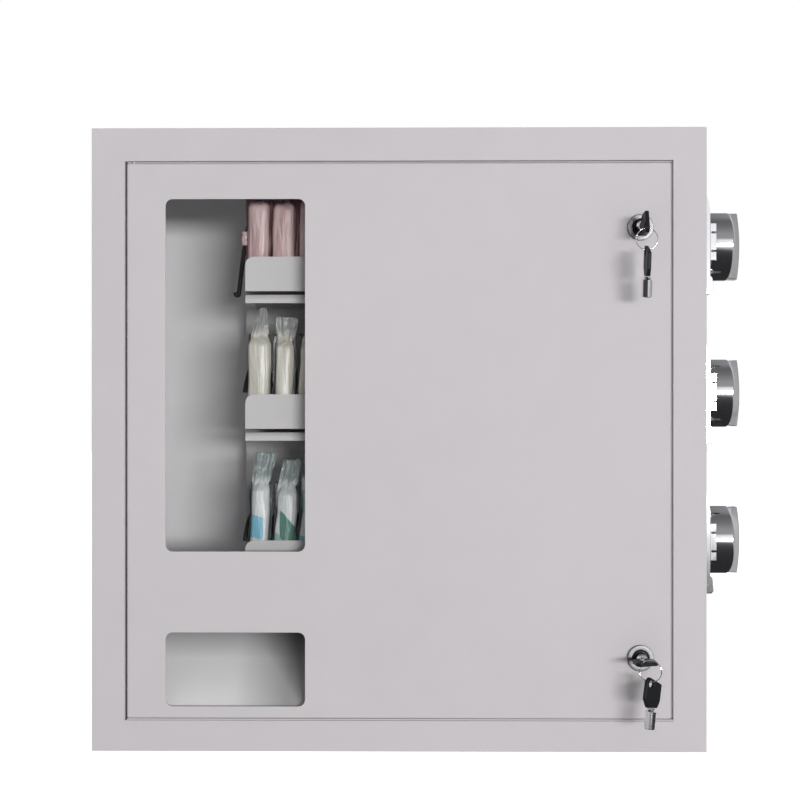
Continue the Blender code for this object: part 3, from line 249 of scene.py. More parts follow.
# a lighter copy of the inner paint, painted light, which the painted shade greys towards the top and the
# right
chuteLitShadedPaint = paintLook("chuteLitShadedPaint", (0.98, 0.98, 0.985), paintedShade=paintedShades["chute"])
lipShadedPaints = {}
for tier in tiers:
    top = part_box("shelf_" + tier)[1].z
    # painted shade: the lip darkens towards the shelf's top, under the tray's front
    paintedShades[tier] = {"rise": (top - 0.0062, top - 0.0010, 0.30)}
    lipShadedPaints[tier] = paintLook("lipPaint_" + tier, innerColour, paintedShade=paintedShades[tier])
satinChrome = metalLook("satinChrome", (0.23, 0.227, 0.232), 0.42, 0.08, (1, 1, 1), 0.10)
# a darker copy of the plate's chrome for its rolled edges: painted shade
plateEdgeShade = metalLook("plateEdgeShade", (0.10, 0.10, 0.105), 0.40, 0.08, (1, 1, 1), 0.06)
print("materials made")


# Pieces

sameSpot = 0.000002  # points closer than this are one
edgeAngle = 34  # degrees from which an edge is sharp, and is rounded


def finish(name, mesh, look, node, angle=edgeAngle, body=None):
    piece = bpy.data.objects.new(name, mesh)
    bpy.context.scene.collection.objects.link(piece)
    mesh.materials.clear()
    mesh.materials.append(look)
    mesh.shade_smooth()
    mesh.set_sharp_from_angle(angle=radians(angle))
    if node:
        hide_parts(node)
    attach(piece, body or bodyOf[node])
    return piece


def evened(piece):
    even = piece.modifiers.new("normals", "WEIGHTED_NORMAL")
    even.mode = "FACE_AREA"
    even.weight = 80
    even.keep_sharp = True
    return piece


def rounding(piece, width, segments=2, angle=edgeAngle):
    edge = piece.modifiers.new("edges", "BEVEL")
    edge.width = width
    edge.segments = segments
    edge.limit_method = "ANGLE"
    edge.angle_limit = radians(angle)
    edge.miter_outer = "MITER_ARC"
    return evened(piece)


def dressed(node, width, segments=2, look=None):
    # the CAD node's own shape with rolled edges
    mesh = cadNodes[node].data.copy()
    bm = bmesh.new()
    bm.from_mesh(mesh)
    bmesh.ops.remove_doubles(bm, verts=bm.verts, dist=sameSpot)
    bm.to_mesh(mesh)
    bm.free()
    for layer in list(mesh.uv_layers):
        mesh.uv_layers.remove(layer)
    piece = finish(node + "_skin", mesh, look or looks[slotOf[node]], node, angle=180)
    return rounding(piece, width, segments)


def meshFrom(bm, name):
    bmesh.ops.recalc_face_normals(bm, faces=bm.faces)
    mesh = bpy.data.meshes.new(name)
    bm.to_mesh(mesh)
    bm.free()
    return mesh


def frameOf(origin, across, along):
    across, along = Vector(across).normalized(), Vector(along).normalized()
    place = Matrix((across, along, across.cross(along))).transposed().to_4x4()
    place.translation = Vector(origin)
    return place


def addTurned(bm, profile, place, steps=64, closed=False):
    # a profile of (radius, height) turned round the place's Z
    rings = []
    for radius, height in profile:
        if radius < 1e-7:
            rings.append([bm.verts.new(place @ Vector((0, 0, height)))])
        else:
            turns = [2 * pi * step / steps for step in range(steps)]
            rings.append([bm.verts.new(place @ Vector((radius * cos(turn), radius * sin(turn), height)))
                          for turn in turns])
    pairs = list(zip(rings, rings[1:]))
    if closed:
        pairs.append((rings[-1], rings[0]))
    for first, second in pairs:
        for step in range(steps):
            after = (step + 1) % steps
            corners = [first[step % len(first)], first[after % len(first)], second[after % len(second)],
                       second[step % len(second)]]
            corners = [c for index, c in enumerate(corners) if c not in corners[:index]]
            if len(corners) > 2:
                bm.faces.new(corners)


def rounded(points, radius, steps):
    # a closed outline with each corner turned into an arc
    outline = []
    for index, corner in enumerate(points):
        corner = Vector(corner)
        before = (Vector(points[index - 1]) - corner).normalized()
        after = (Vector(points[(index + 1) % len(points)]) - corner).normalized()
        half = before.angle(after) / 2
        middle = corner + (before + after).normalized() * (radius / sin(half))
        first = corner + before * (radius / tan(half)) - middle
        last = corner + after * (radius / tan(half)) - middle
        sweep = first.angle_signed(last)
        for step in range(steps + 1):
            turn = -sweep * step / steps
            outline.append(middle + Vector((first.x * cos(turn) - first.y * sin(turn),
                                            first.x * sin(turn) + first.y * cos(turn))))
    return outline


def circle(radius, middle, sides=40):
    turns = [2 * pi * step / sides for step in range(sides)]
    return [(middle[0] + radius * cos(turn), middle[1] + radius * sin(turn)) for turn in turns]


def outlineMesh(name, outline, thickness, place, holes):
    # a flat plate with holes, cut by Blender's own curve fill
    curve = bpy.data.curves.new(name, "CURVE")
    curve.dimensions = "2D"
    curve.fill_mode = "BOTH"
    curve.extrude = thickness / 2
    for loop in (outline, *holes):
        spline = curve.splines.new("POLY")
        spline.points.add(len(loop) - 1)
        for point, (x, y) in zip(spline.points, loop):
            point.co = (x, y, 0, 1)
        spline.use_cyclic_u = True
    flat = bpy.data.objects.new(name, curve)
    bpy.context.scene.collection.objects.link(flat)
    bpy.context.view_layer.update()
    mesh = bpy.data.meshes.new_from_object(flat.evaluated_get(bpy.context.evaluated_depsgraph_get()))
    bpy.data.objects.remove(flat)
    bm = bmesh.new()
    bm.from_mesh(mesh)
    bmesh.ops.remove_doubles(bm, verts=bm.verts, dist=sameSpot)
    bmesh.ops.dissolve_limit(bm, angle_limit=radians(0.4), verts=bm.verts, edges=bm.edges)
    bmesh.ops.transform(bm, matrix=place, verts=bm.verts)
    return meshFrom(bm, name)


def wirePiece(name, points, radius, look, node):
    curve = bpy.data.curves.new(name, "CURVE")
    curve.dimensions = "3D"
    curve.bevel_depth = radius
    curve.bevel_resolution = 3
    curve.use_fill_caps = True
    spline = curve.splines.new("POLY")
    spline.points.add(len(points) - 1)
    for point, place in zip(spline.points, points):
        point.co = (*place, 1)
    spline.use_smooth = True
    piece = bpy.data.objects.new(name, curve)
    bpy.context.scene.collection.objects.link(piece)
    curve.materials.append(look)
    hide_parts(node)
    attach(piece, bodyOf[node])
    return piece


# Sheet metal

wallX, cabinetTop, cabinetBack = 0.275, 0.558, 0.080
sheetEdges = {"cabinet_shell": 0.0006, "front_frame": 0.0010, "back_panel": 0.0004, "door_panel": 0.0011,
              "tray_back_plate": 0.0003, "drop_chute": 0.0003, "coin_duct": 0.0003, "coin_box": 0.0003,
              "pane_strip_left": 0.0003, "pane_strip_right": 0.0003}
sheetPaints = {"drop_chute": chuteLitShadedPaint}
for tier in tiers:
    sheetEdges["tray_" + tier] = 0.0004
    sheetEdges["shelf_" + tier] = 0.0004
    sheetPaints["shelf_" + tier] = lipShadedPaints[tier]
smallEdges = {"hinge_pin_upper": 0.0003, "hinge_pin_lower": 0.0003, "window_pane": 0.0003}
for kind in ("lock_nut_", "lock_cam_", "cam_screw_"):
    for name in ("upper", "lower"):
        smallEdges[kind + name] = 0.0003
for tier in tiers:
    smallEdges["mech_body_" + tier] = 0.0006
    smallEdges["drive_shaft_" + tier] = 0.0004
litPaintInset = {"skin": 0.0004, "back": 0.0005}  # how far inside the outer faces the lighter paint, painted light, starts
shelfDress = {"feet": (-0.0386, -0.0274), "footDepth": 0.0026, "footBack": 0.032, "lipFront": -0.054,
              "lipDepth": 0.005, "lipDrop": 0.0016}


def litPaintFaces(mesh):
    # the inside faces of the shell and the back take the lighter paint, painted light for the brighter inside
    skin = litPaintInset["skin"]
    mesh.materials.append(innerLitPaint)
    for face in mesh.polygons:
        x, y, z = face.center
        inside = abs(x) < wallX - skin and skin < z < cabinetTop - skin
        if inside and y < cabinetBack - litPaintInset["back"]:
            face.material_index = 1


def shelfSet(mesh, top):
    # the pressed feet stand behind what the front slot shows, and the front lip hangs a little lower
    dress = shelfDress
    front, rear = dress["feet"]
    for vert in mesh.vertices:
        if front < vert.co.y < rear and vert.co.z > top - dress["footDepth"]:
            vert.co.y += dress["footBack"]
        if vert.co.y < dress["lipFront"] and vert.co.z < top - dress["lipDepth"]:
            vert.co.z -= dress["lipDrop"]


for node, width in sheetEdges.items():
    piece = dressed(node, width, 3 if width > 0.0009 else 2, sheetPaints.get(node))
    if node in ("cabinet_shell", "back_panel"):
        litPaintFaces(piece.data)
    if node.startswith("shelf_"):
        shelfSet(piece.data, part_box(node)[1].z)

# a painted stop bead in the gap beside the door's free edges: the door's right edge, its low and high ends,
# and where each strip's front stands
stopBead = {"door": (0.2435, 0.0293, 0.5267), "gap": 0.0016, "fit": 0.00002, "thick": 0.0011,
            "bottomThick": 0.0014, "right": -0.0775, "top": -0.0770, "bottom": -0.0797, "back": -0.0680}


def addBlock(bm, low, high):
    low, high = Vector(low), Vector(high)
    place = Matrix.Translation((low + high) / 2) @ Matrix.Diagonal((*(high - low), 1))
    bmesh.ops.create_cube(bm, size=1, matrix=place)


def stopBeadPiece():
    bead = stopBead
    side, low, high = bead["door"]
    outer, thick, back = bead["gap"] - bead["fit"], bead["thick"], bead["back"]
    left, right, foot, top = -side, side + outer, low - outer, high + outer
    bm = bmesh.new()
    addBlock(bm, (right - thick, bead["right"], foot), (right, back, top))
    addBlock(bm, (left, bead["top"], top - thick), (right, back, top))
    addBlock(bm, (left, bead["bottom"], foot), (right, back, foot + bead["bottomThick"]))
    piece = finish("door_stop_bead", meshFrom(bm, "bead"), looks["cabinet_paint"], None, body="cabinet")
    rounding(piece, 0.0003)


stopBeadPiece()
for node, width in smallEdges.items():
    dressed(node, width)
print("sheet metal made")


# Spirals

spiralShape = {"start": -0.1421, "pitch": 0.0228, "radius": 0.0259, "wire": 0.0021, "turns": 14, "points": 40,
               "run": 0.009, "finger": 0.048, "lean": 0.0058, "hook": 0.0032, "axisY": -0.014}
axisHeights = {"upper": 0.4600, "middle": 0.3226, "lower": 0.1852}
hookBend = ((-1, 1), (-0.86, 0.45), (-0.55, 0.12), (-0.2, 0.08), (0.02, 0.42), (0.11, 1))
tailBend = ((0.12, 0.55), (0.3, 0.9), (0.5, 1), (1, 1))
hubShape = {"disc": 0.006, "shaft": 0.0053, "boss": 0.009, "foot": 0.0105, "footRise": 0.002, "edge": 0.0006,
            "web": (0.86, 0.9), "webDrop": 0.0012}


def spiralPath(tier):
    # from the finger at the front, on the upper spiral only, to the short straight tail in the hub
    coil = spiralShape
    axis, height, radius, hook = coil["axisY"], axisHeights[tier], coil["radius"], coil["hook"]
    points = []
    if tier == "upper":
        footX, footZ = coil["start"] - coil["lean"], height - coil["finger"]
        points += [(footX + hook * dx, axis - radius, footZ + hook * dz) for dx, dz in hookBend]
    for step in range(coil["turns"] * coil["points"] + 1):
        angle = 2 * pi * step / coil["points"]
        along = coil["start"] + coil["pitch"] * angle / (2 * pi)
        points.append((along, axis - radius * cos(angle), height + radius * sin(angle)))
    x, y, z = points[-1]
    points += [(x + coil["run"] * dx, y, z + coil["wire"] * dz) for dx, dz in tailBend]
    return points


def hubPiece(tier):
    hub = hubShape
    low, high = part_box("spiral_hub_" + tier)
    place = frameOf((low.x, spiralShape["axisY"], axisHeights[tier]), (0, 1, 0), (0, 0, 1))
    rim, end = (high.z - low.z) / 2, high.x - low.x
    disc, shaft, boss, edge = hub["disc"], hub["shaft"], hub["boss"], hub["edge"]
    web = disc - hub["webDrop"]
    profile = [(0, disc), (shaft, disc), (shaft, end), (boss - edge, end), (boss, end - edge),
               (boss, disc + hub["footRise"]), (hub["foot"], disc), (rim * hub["web"][0], disc),
               (rim * hub["web"][1], web), (rim - edge, web), (rim, web - edge), (rim, edge), (rim - edge, 0),
               (0, 0)]
    bm = bmesh.new()
    addTurned(bm, profile, place)
    finish("hub_moulding_" + tier, meshFrom(bm, "hub"), looks["white_plastic"], "spiral_hub_" + tier)


for tier in tiers:
    wire = spiralShape["wire"]
    wirePiece("spiral_wire_" + tier, spiralPath(tier), wire, looks["black_wire"], "spiral_" + tier)
    hubPiece(tier)
print("spirals made")


# Wrapped packets

packetShape = {"count": 12, "front": 0.0422, "rear": 0.0066, "lobe": 0.0136, "neck": 0.0100, "puff": 0.0150,
               "body": 26, "levels": 64, "lean": 0.14, "frontShift": 0.0022}
# how far folds push the film out on the pad's sides and its front, then the flat tip: half its thickness,
# its pleats and ripples, and how uneven its top is
crinkle = {"fold": 0.0010, "crease": 0.0004, "front": 0.0009, "thin": 0.0005, "pleat": 0.0010,
           "ripple": 0.0026, "lift": 0.0022}
# the loose film behind each pad, coloured dark as painted shade for the gaps between pads: how far to the
# left it stands and how much it waves
backingShadeFilm = {"levels": 32, "around": 28, "shift": 0.0004, "wave": 0.0014, "drift": 0.0008, "thin": 0.0002}
sealFin = {"x": -0.1412, "y": -0.0480, "foot": 0.4575, "step": 0.00158, "levels": 8, "around": 12,
           "half": 0.0025, "thin": 0.0002, "sway": (0.0003, 0.0004)}
# each tier: how tall, where the pad ends and the film goes clear, the lean of all fronts and of the first
# three, the packets that show, and the backing film's height, half-width and distance behind the front
# a packet that shows: tip width, tip yaw in degrees, tip lean sideways, top cut off, pad half-width,
# shoulder drop
tierPackets = {
    "upper": {"height": 0.1080, "shoulder": 0.0805, "fade": 0.004, "seed": 11, "frontLean": 0.01,
              "tilt": (0.0, 0.0, 0.0),
              "shown": ((0.0195, 4, 0.000, 0.000, 0.0096, 0.0), (0.0200, -6, 0.001, 0.001, 0.0100, 0.001),
                        (0.0180, 12, 0.000, 0.000, 0.0080, 0.0)),
              "film": (0.1075, 0.0118, 0.0122)},
    "middle": {"height": 0.1098, "shoulder": 0.0800, "fade": 0.018, "seed": 5, "frontLean": 0.035,
               "tilt": (0.0, 0.02, 0.03),
               "shown": ((0.0075, 22, 0.003, 0.000, 0.0100, 0.0), (0.0225, -10, 0.001, 0.0085, 0.0080, 0.003),
                         (0.0120, 25, 0.006, 0.004, 0.0088, 0.004)),
               "film": (0.0860, 0.0105, 0.0118)},
    "lower": {"height": 0.1105, "shoulder": 0.0790, "fade": 0.016, "seed": 23, "frontLean": 0.075,
              "tilt": (0.0, 0.06, 0.03),
              "shown": ((0.0200, 6, 0.0045, 0.000, 0.0082, 0.0), (0.0185, -8, 0.0045, 0.0075, 0.0092, 0.002),
                        (0.0200, 12, 0.003, 0.002, 0.0090, 0.0)),
              "film": (0.0830, 0.0105, 0.0118)},
}
# limits of what is drawn: the first five for the packets behind those, phase and shoulder for every packet
drawnPackets = {"tipWidth": (0.012, 0.021), "yaw": (-20, 20), "tipLean": (-0.002, 0.004), "cut": (0, 0.006),
                "half": (0.0086, 0.0100), "phase": (0, 50), "shoulder": (-0.0012, 0.0012)}
# how soft a patch's edges are, upwards and as a share of the half-width, and how far a slant of 1 lifts it
patchEdge = {"rise": 0.003, "side": 0.3, "slant": 0.02}
# plain patches of colour on the lowest tier: which colour, low and high above the floor, left and right edge
# as shares of the half-width, and the slant
tierPatches = {0: (("patchA", 0.031, 0.052, -1.3, 0.55, 0.10),),
               1: (("patchB", 0.029, 0.055, -0.35, 1.3, 0.55), ("patchC", 0.006, 0.032, -0.9, 0.9, 0.35)),
               2: (("patchC", 0.054, 0.074, -1.3, 1.3, 0.15), ("patchA", 0.020, 0.034, -1.2, 0.2, 0.0))}


def smoothStep(low, high, value):
    share = max(0.0, min(1.0, (value - low) / (high - low)))
    return share * share * (3 - 2 * share)


def addShell(bm, rings):
    total = len(rings[0])
    for below, above in zip(rings, rings[1:]):
        for step in range(total):
            after = (step + 1) % total
            bm.faces.new((below[step], below[after], above[after], above[step]))
    bm.faces.new(rings[0][::-1])
    bm.faces.new(rings[-1])


def drawPacket(tier, number, rng):
    kind, limits = tierPackets[tier], drawnPackets
    if number < len(kind["shown"]):
        tipWidth, yaw, tipLean, cut, half, drop = kind["shown"][number]
        tilt = kind["tilt"][number]
    else:
        tipWidth, yaw, tipLean, cut, half = [rng.uniform(*limits[name])
                                             for name in ("tipWidth", "yaw", "tipLean", "cut", "half")]
        drop, tilt = 0, 0.0
    phase = rng.uniform(*limits["phase"])
    return {"number": number, "phase": phase, "tipWidth": tipWidth, "yaw": radians(yaw), "tipLean": tipLean,
            "half": half, "height": kind["height"] - cut, "frontLean": kind["frontLean"] + tilt,
            "shoulder": kind["shoulder"] + rng.uniform(*limits["shoulder"]) - drop,
            "baseX": spiralShape["start"] + number * spiralShape["pitch"] + spiralShape["pitch"] / 2 + 0.0003}


def patchShare(patch, packet, x, rise):
    # 1 inside a patch of colour, falling to 0 over its soft edge
    low, high, left, right, slant = patch
    place = (x - packet["baseX"] - packetShape["frontShift"]) / packet["half"]
    tall = rise + slant * place * patchEdge["slant"]
    inside = min(tall - low, high - tall) / patchEdge["rise"]
    inside = min(inside, (place - left) / patchEdge["side"], (right - place) / patchEdge["side"])
    return max(0.0, min(1.0, 0.5 + inside * 0.5))


def addPad(bm, marks, tier, packet):
    # a filled pad up to the shoulder, which runs on as a flat tip of empty film
    shape, kind, film = packetShape, tierPackets[tier], crinkle
    radius, axisY, count = spiralShape["radius"], spiralShape["axisY"], shape["body"]
    number, phase, half, yaw = packet["number"], packet["phase"], packet["half"], packet["yaw"]
    height, shoulder, frontLean = packet["height"], packet["shoulder"], packet["frontLean"]
    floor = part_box("packets_" + tier)[0].z
    frontY, rearY = axisY - shape["front"], axisY + shape["rear"]
    lobeY, lobeHalf = frontY + shape["lobe"] / 2, shape["lobe"] / 2
    rings = []
    for level in range(shape["levels"] + 1):
        rise = level / shape["levels"] * height
        z = floor + rise
        above = z - axisHeights[tier]
        held = max(-radius, min(radius, above))
        inCoil = 1 - smoothStep(radius + 0.001, radius + 0.007, above)
        # how the pad closes at its foot and its shoulder, and how far the tip spreads and closes
        toTip = smoothStep(shoulder - 0.006, shoulder + 0.006, rise)
        crown = max(0.0, 1 - max(0.0, (rise - shoulder + 0.008) / 0.016) ** 2.4) ** 0.5
        foot = (1 - max(0.0, 1 - rise / 0.006) ** 2) ** 0.5
        swell = 0.86 + 0.14 * foot
        spread = max(0.0, (rise - shoulder) / (height - shoulder)) ** 0.8 if rise > shoulder else 0.0
        reach = half * 0.98 * (1 - spread) + packet["tipWidth"] / 2 * spread
        reach *= 0.55 + 0.45 * max(0.0, 1 - max(0.0, (rise - height + 0.004) / 0.0052) ** 2) ** 0.5
        tipShift = packet["tipLean"] * smoothStep(shoulder, height, rise)
        ring = []
        for step in range(2 * count):
            # the pad's own outline: a thick lobe in front, and a neck held by the spiral behind it
            side, share = (1, step / count) if step < count else (-1, 2 - step / count)
            u = (1 - cos(pi * share)) / 2
            y = frontY + (rearY - frontY) * u
            edge = min(1.0, (u * (1 - u) * 4) ** 0.5 * 2.2)
            lobe = half * max(0.0, 1 - abs((y - lobeY) / lobeHalf) ** 2.6) ** 0.42
            neck = (shape["neck"] * inCoil + shape["puff"] * (1 - inCoil)) / 2 * edge
            rear = smoothStep(lobeY, lobeY + lobeHalf, y)
            thick = max(lobe, neck * rear) if lobe > neck else lobe + (neck - lobe) * rear
            padX = side * thick * swell * (0.80 + 0.20 * crown)
            padY = lobeY + (y - lobeY) * (0.93 + 0.07 * foot) * (0.20 + 0.80 * crown)
            lean = shape["lean"] * rear + frontLean * (1 - rear)
            padX += lean * held * (1 - 0.6 * rear * (1 - inCoil)) + shape["frontShift"] * (1 - rear)
            fold = noise.noise(Vector((padX * 90 + phase, y * 70 + number * 3.1, z * 34)))
            crease = noise.noise(Vector((padX * 300 + phase, y * 190, z * 30 + number)))
            padX += side * (fold * film["fold"] + crease * film["crease"]) * (1 - 0.7 * rear * inCoil)
            padY -= (fold * film["front"] + crease * film["front"]) * (1 - rear)
            # the tip's outline: a thin pleated strip
            across = sin(2 * pi * step / (2 * count))
            thin = -cos(2 * pi * step / (2 * count))
            pleat = sin(across * 9 + phase + z * 60) * film["pleat"]
            pleat += noise.noise(Vector((across * 3, phase, z * 140))) * film["ripple"]
            fx, fy = across * reach, thin * film["thin"] + pleat
            tipX = fx * cos(yaw) - fy * sin(yaw) + shape["frontShift"] + frontLean * held + tipShift
            tipY = lobeY + 0.002 + fx * sin(yaw) + fy * cos(yaw)
            x = packet["baseX"] + padX * (1 - toTip) + tipX * toTip
            lift = toTip * noise.noise(Vector((across * 2.5, phase, number))) * film["lift"]
            top = min(z + lift, floor + kind["height"])
            vert = bm.verts.new((x, padY * (1 - toTip) + tipY * toTip, top))
            vert[marks["film"]] = smoothStep(shoulder - 0.004, shoulder + kind["fade"], rise)
            if tier == "lower":
                for mark, *patch in tierPatches[number % 3]:
                    vert[marks[mark]] = patchShare(patch, packet, x, rise)
            ring.append(vert)
        rings.append(ring)
    addShell(bm, rings)


def addBackingShadeFilm(bm, marks, tier, packet):
    # real wrapping film between the pads, whose dark colour is painted shade for the gaps
    film, kind, radius = backingShadeFilm, tierPackets[tier], spiralShape["radius"]
    number, phase = packet["number"], packet["phase"]
    tall, wide, behind = kind["film"]
    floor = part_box("packets_" + tier)[0].z
    filmY = spiralShape["axisY"] - packetShape["front"] + behind
    rings = []
    for level in range(film["levels"] + 1):
        rise = 0.001 + level / film["levels"] * (tall - 0.001)
        z = floor + rise
        held = max(-radius, min(radius, z - axisHeights[tier]))
        close = max(0.0, 1 - max(0.0, (rise - tall + 0.006) / 0.008) ** 2) ** 0.5
        leftX = packet["baseX"] - film["shift"] + packetShape["frontShift"] + kind["frontLean"] * held
        ring = []
        for step in range(film["around"]):
            angle = 2 * pi * step / film["around"]
            across = cos(angle)
            wave = noise.noise(Vector((across * 2.2 + phase, number, z * 40))) * film["wave"]
            x = leftX + across * wide * (0.7 + 0.3 * close)
            x += noise.noise(Vector((across, phase, z * 60))) * film["drift"]
            vert = bm.verts.new((x, filmY + wave + sin(angle) * film["thin"], z))
            vert[marks["flap"]] = 1
            ring.append(vert)
        rings.append(ring)
    addShell(bm, rings)


def addSealFin(bm):
    # stands beside the first packet of the upper tier
    fin = sealFin
    rings = []
    for level in range(fin["levels"] + 1):
        x = fin["x"] + fin["sway"][0] * sin(level * 1.3)
        y = fin["y"] + fin["sway"][1] * sin(level * 2.1)
        z = fin["foot"] + level * fin["step"]
        turns = [2 * pi * step / fin["around"] for step in range(fin["around"])]
        rings.append([bm.verts.new((x + fin["half"] * cos(turn), y + fin["thin"] * sin(turn), z))
                      for turn in turns])
    addShell(bm, rings)


def packetLook(name, pad, shade, film, flap, patches=None):
    # creased wrapping: pad with painted shade in its creases on the filled part, film on the clear tip with
    # painted highlights on its crinkle lines, and on the film behind a dark colour, painted shade for the
    # gaps
    look = Look(name, Metallic=0.0, IOR=1.46, Coat_Roughness=0.22)
    place = look.place
    wrinkle = place.times((1.0, 1.0, 0.3)).noise(380.0, 4.0, 0.55, 1.0)
    crease = place.times((1.0, 1.0, 0.14)).noise(150.0, 2.5, 0.5, 1.0)
    cell = place.node("ShaderNodeTexVoronoi", 0, {"feature": "DISTANCE_TO_EDGE"}, Scale=140.0)
    crinkleHighlight = cell.ramp(0.0, 0.10, white, black)
    tip = (look.attribute("film") + (crease - 0.5) * 0.5).ramp(0.25, 0.80)
    behind = look.attribute("flap")
    # painted shade: the pad's colour falls to its shade colour in the creases
    base = (crease.ramp(0.36, 0.66) * 0.8).mix(pad, shade)
    if patches:
        ragged = (wrinkle - 0.5) * 0.25
        for mark, colour in patches.items():
            base = (look.attribute(mark) + ragged).ramp(0.46, 0.56).mix(base, colour)
    base = tip.mix(base, film)
    # painted highlights along the crinkle lines
    base = (crinkleHighlight * 0.30).mix(base, tuple(min(1, c * 1.25) for c in pad))
    # the film behind: dark painted shade for the gaps, with painted highlights on its wrinkles
    shadeFlapHighlight = tuple(c * 2.2 + 0.01 for c in flap)
    base = behind.mix(base, (wrinkle.ramp(0.45, 0.70) * 0.5).mix(flap, shadeFlapHighlight))
    clear = tip * (0.50 - crease * 0.35) * (1.0 - crinkleHighlight * 0.5)
    normal = wrinkle.bump(0.5, 0.0007, crease.bump(0.8, 0.0022))
    look.set(Base_Color=base, Roughness=0.34 + (wrinkle - 0.5) * 0.3, Coat_Weight=0.2 + tip * 0.5,
             Alpha=1.0 - clear, Normal=normal)
    return look.material


patchColours = {"patchA": (0.13, 0.40, 0.52), "patchC": (0.20, 0.36, 0.36), "patchB": (0.03, 0.15, 0.11)}
# each tier: pad, its painted crease shade, tip film, and the film behind, whose dark colour is painted shade
# for the gaps
tierLooks = {
    "upper": packetLook("pinkFilm", (0.52, 0.39, 0.385), (0.36, 0.21, 0.215), (0.12, 0.045, 0.055),
                        (0.120, 0.035, 0.045)),
    "middle": packetLook("creamFilm", (0.58, 0.57, 0.52), (0.42, 0.40, 0.31), (0.30, 0.32, 0.31),
                         (0.040, 0.044, 0.038)),
    "lower": packetLook("whiteFilm", (0.60, 0.62, 0.62), (0.42, 0.45, 0.44), (0.26, 0.31, 0.31),
                        (0.030, 0.040, 0.040), patchColours),
}
for tier in tiers:
    bm = bmesh.new()
    names = ("film", "flap", "patchA", "patchB", "patchC")
    marks = {mark: bm.verts.layers.float.new(mark) for mark in names}
    rng = random.Random(tierPackets[tier]["seed"])
    for number in range(packetShape["count"]):
        packet = drawPacket(tier, number, rng)
        addPad(bm, marks, tier, packet)
        addBackingShadeFilm(bm, marks, tier, packet)
        if tier == "upper" and number == 0:
            addSealFin(bm)
    mesh = meshFrom(bm, "packets")
    piece = finish("wrapped_packets_" + tier, mesh, tierLooks[tier], "packets_" + tier, angle=180)
print("packets made")


# Coin mechanisms

knobShape = {"radius": 0.0316, "rear": 0.0124, "face": 0.0342, "fillet": 0.0026, "edge": 0.0012,
             "softEdge": 0.0004, "pocket": 0.0182, "pocketFloor": 0.0180, "pocketEdge": 0.0006,
             "dish": 0.0030, "dishRim": 0.0062}
# flare: how deep it starts, how high it rises and its share of the skirt; crown: inset, width and height
gripShape = {"half": 0.0064, "end": 0.0424, "top": 0.0447, "skirt": 0.0022, "skirtFoot": 0.0010,
             "flare": (0.0006, 0.0028, 0.6), "crown": (0.0026, 0.0016, 0.0018), "inset": 0.0004,
             "sections": 24}


def quarter(steps, first=0):
    # the angles of a quarter turn
    return [pi / 2 * step / steps for step in range(first, steps + 1)]


def knobProfile():
    # radius and distance from the cabinet's wall: dished face, round edge, rear rim and pocket
    knob = knobShape
    radius, face, fillet = knob["radius"], knob["face"], knob["fillet"]
    rear, edge = knob["rear"], knob["edge"]
    pocket, floor, soft, small = knob["pocket"], knob["pocketFloor"], knob["softEdge"], knob["pocketEdge"]
    profile = [(0, face - knob["dish"])]
    profile += [((radius - knob["dishRim"]) * sin(turn), face - knob["dish"] * cos(turn) ** 0.7)
                for turn in quarter(8, 1)]
    profile += [(radius - fillet + fillet * sin(turn), face - fillet + fillet * cos(turn))
                for turn in quarter(6)]
    profile += [(radius, rear + edge), (radius - soft, rear + soft), (radius - edge, rear)]
    profile += [(pocket + small, rear), (pocket, rear + small), (pocket, floor), (0, floor)]
    return profile


def gripOutline(top):
    # a flared foot and a crowned top, first on one side and then mirrored
    grip, face = gripShape, knobShape["face"]
    half, skirt = grip["half"], grip["skirt"]
    sink, rise, share = grip["flare"]
    inset, width, height = grip["crown"]
    outline = [(half + skirt, face - knobShape["dish"] - grip["skirtFoot"])]
    outline += [(half + skirt * (1 - share * sin(turn)), face - sink + rise * (1 - cos(turn)))
                for turn in quarter(4)]
    outline += [(half - inset + width * cos(turn), top - height + height * sin(turn)) for turn in quarter(4)]
    return outline + [(-u, h) for u, h in reversed(outline)]


def knobPiece(tier):
    grip, radius = gripShape, knobShape["radius"]
    out = frameOf((wallX, spiralShape["axisY"], axisHeights[tier]), (0, 1, 0), (0, 0, 1))
    bm = bmesh.new()
    addTurned(bm, knobProfile(), out, 96)
    # the grip bar runs across the whole face and follows the knob's round edge
    rings = []
    for step in range(grip["sections"] + 1):
        along = -1 + step / (grip["sections"] / 2)
        top = grip["top"] - (grip["top"] - grip["end"]) * along ** 2
        rings.append([bm.verts.new(out @ Vector((u, along * (sqrt(radius ** 2 - u ** 2) - grip["inset"]), h)))
                      for u, h in gripOutline(top)])
    addShell(bm, rings)
    piece = finish("knob_casting_" + tier, meshFrom(bm, "knob"), looks["chrome"], "knob_" + tier, angle=40)
    rounding(piece, 0.0006, 2, 40)


for tier in tiers:
    knobPiece(tier)
    plate = dressed("mech_plate_" + tier, 0.0010, 3)
    # the plate's rolled edges take a darker metal: painted shade for the dark outline their reflections give
    plate.data.materials.append(plateEdgeShade)
    plate.modifiers["edges"].material = 1
print("coin mechanisms made")


# Locks and keys

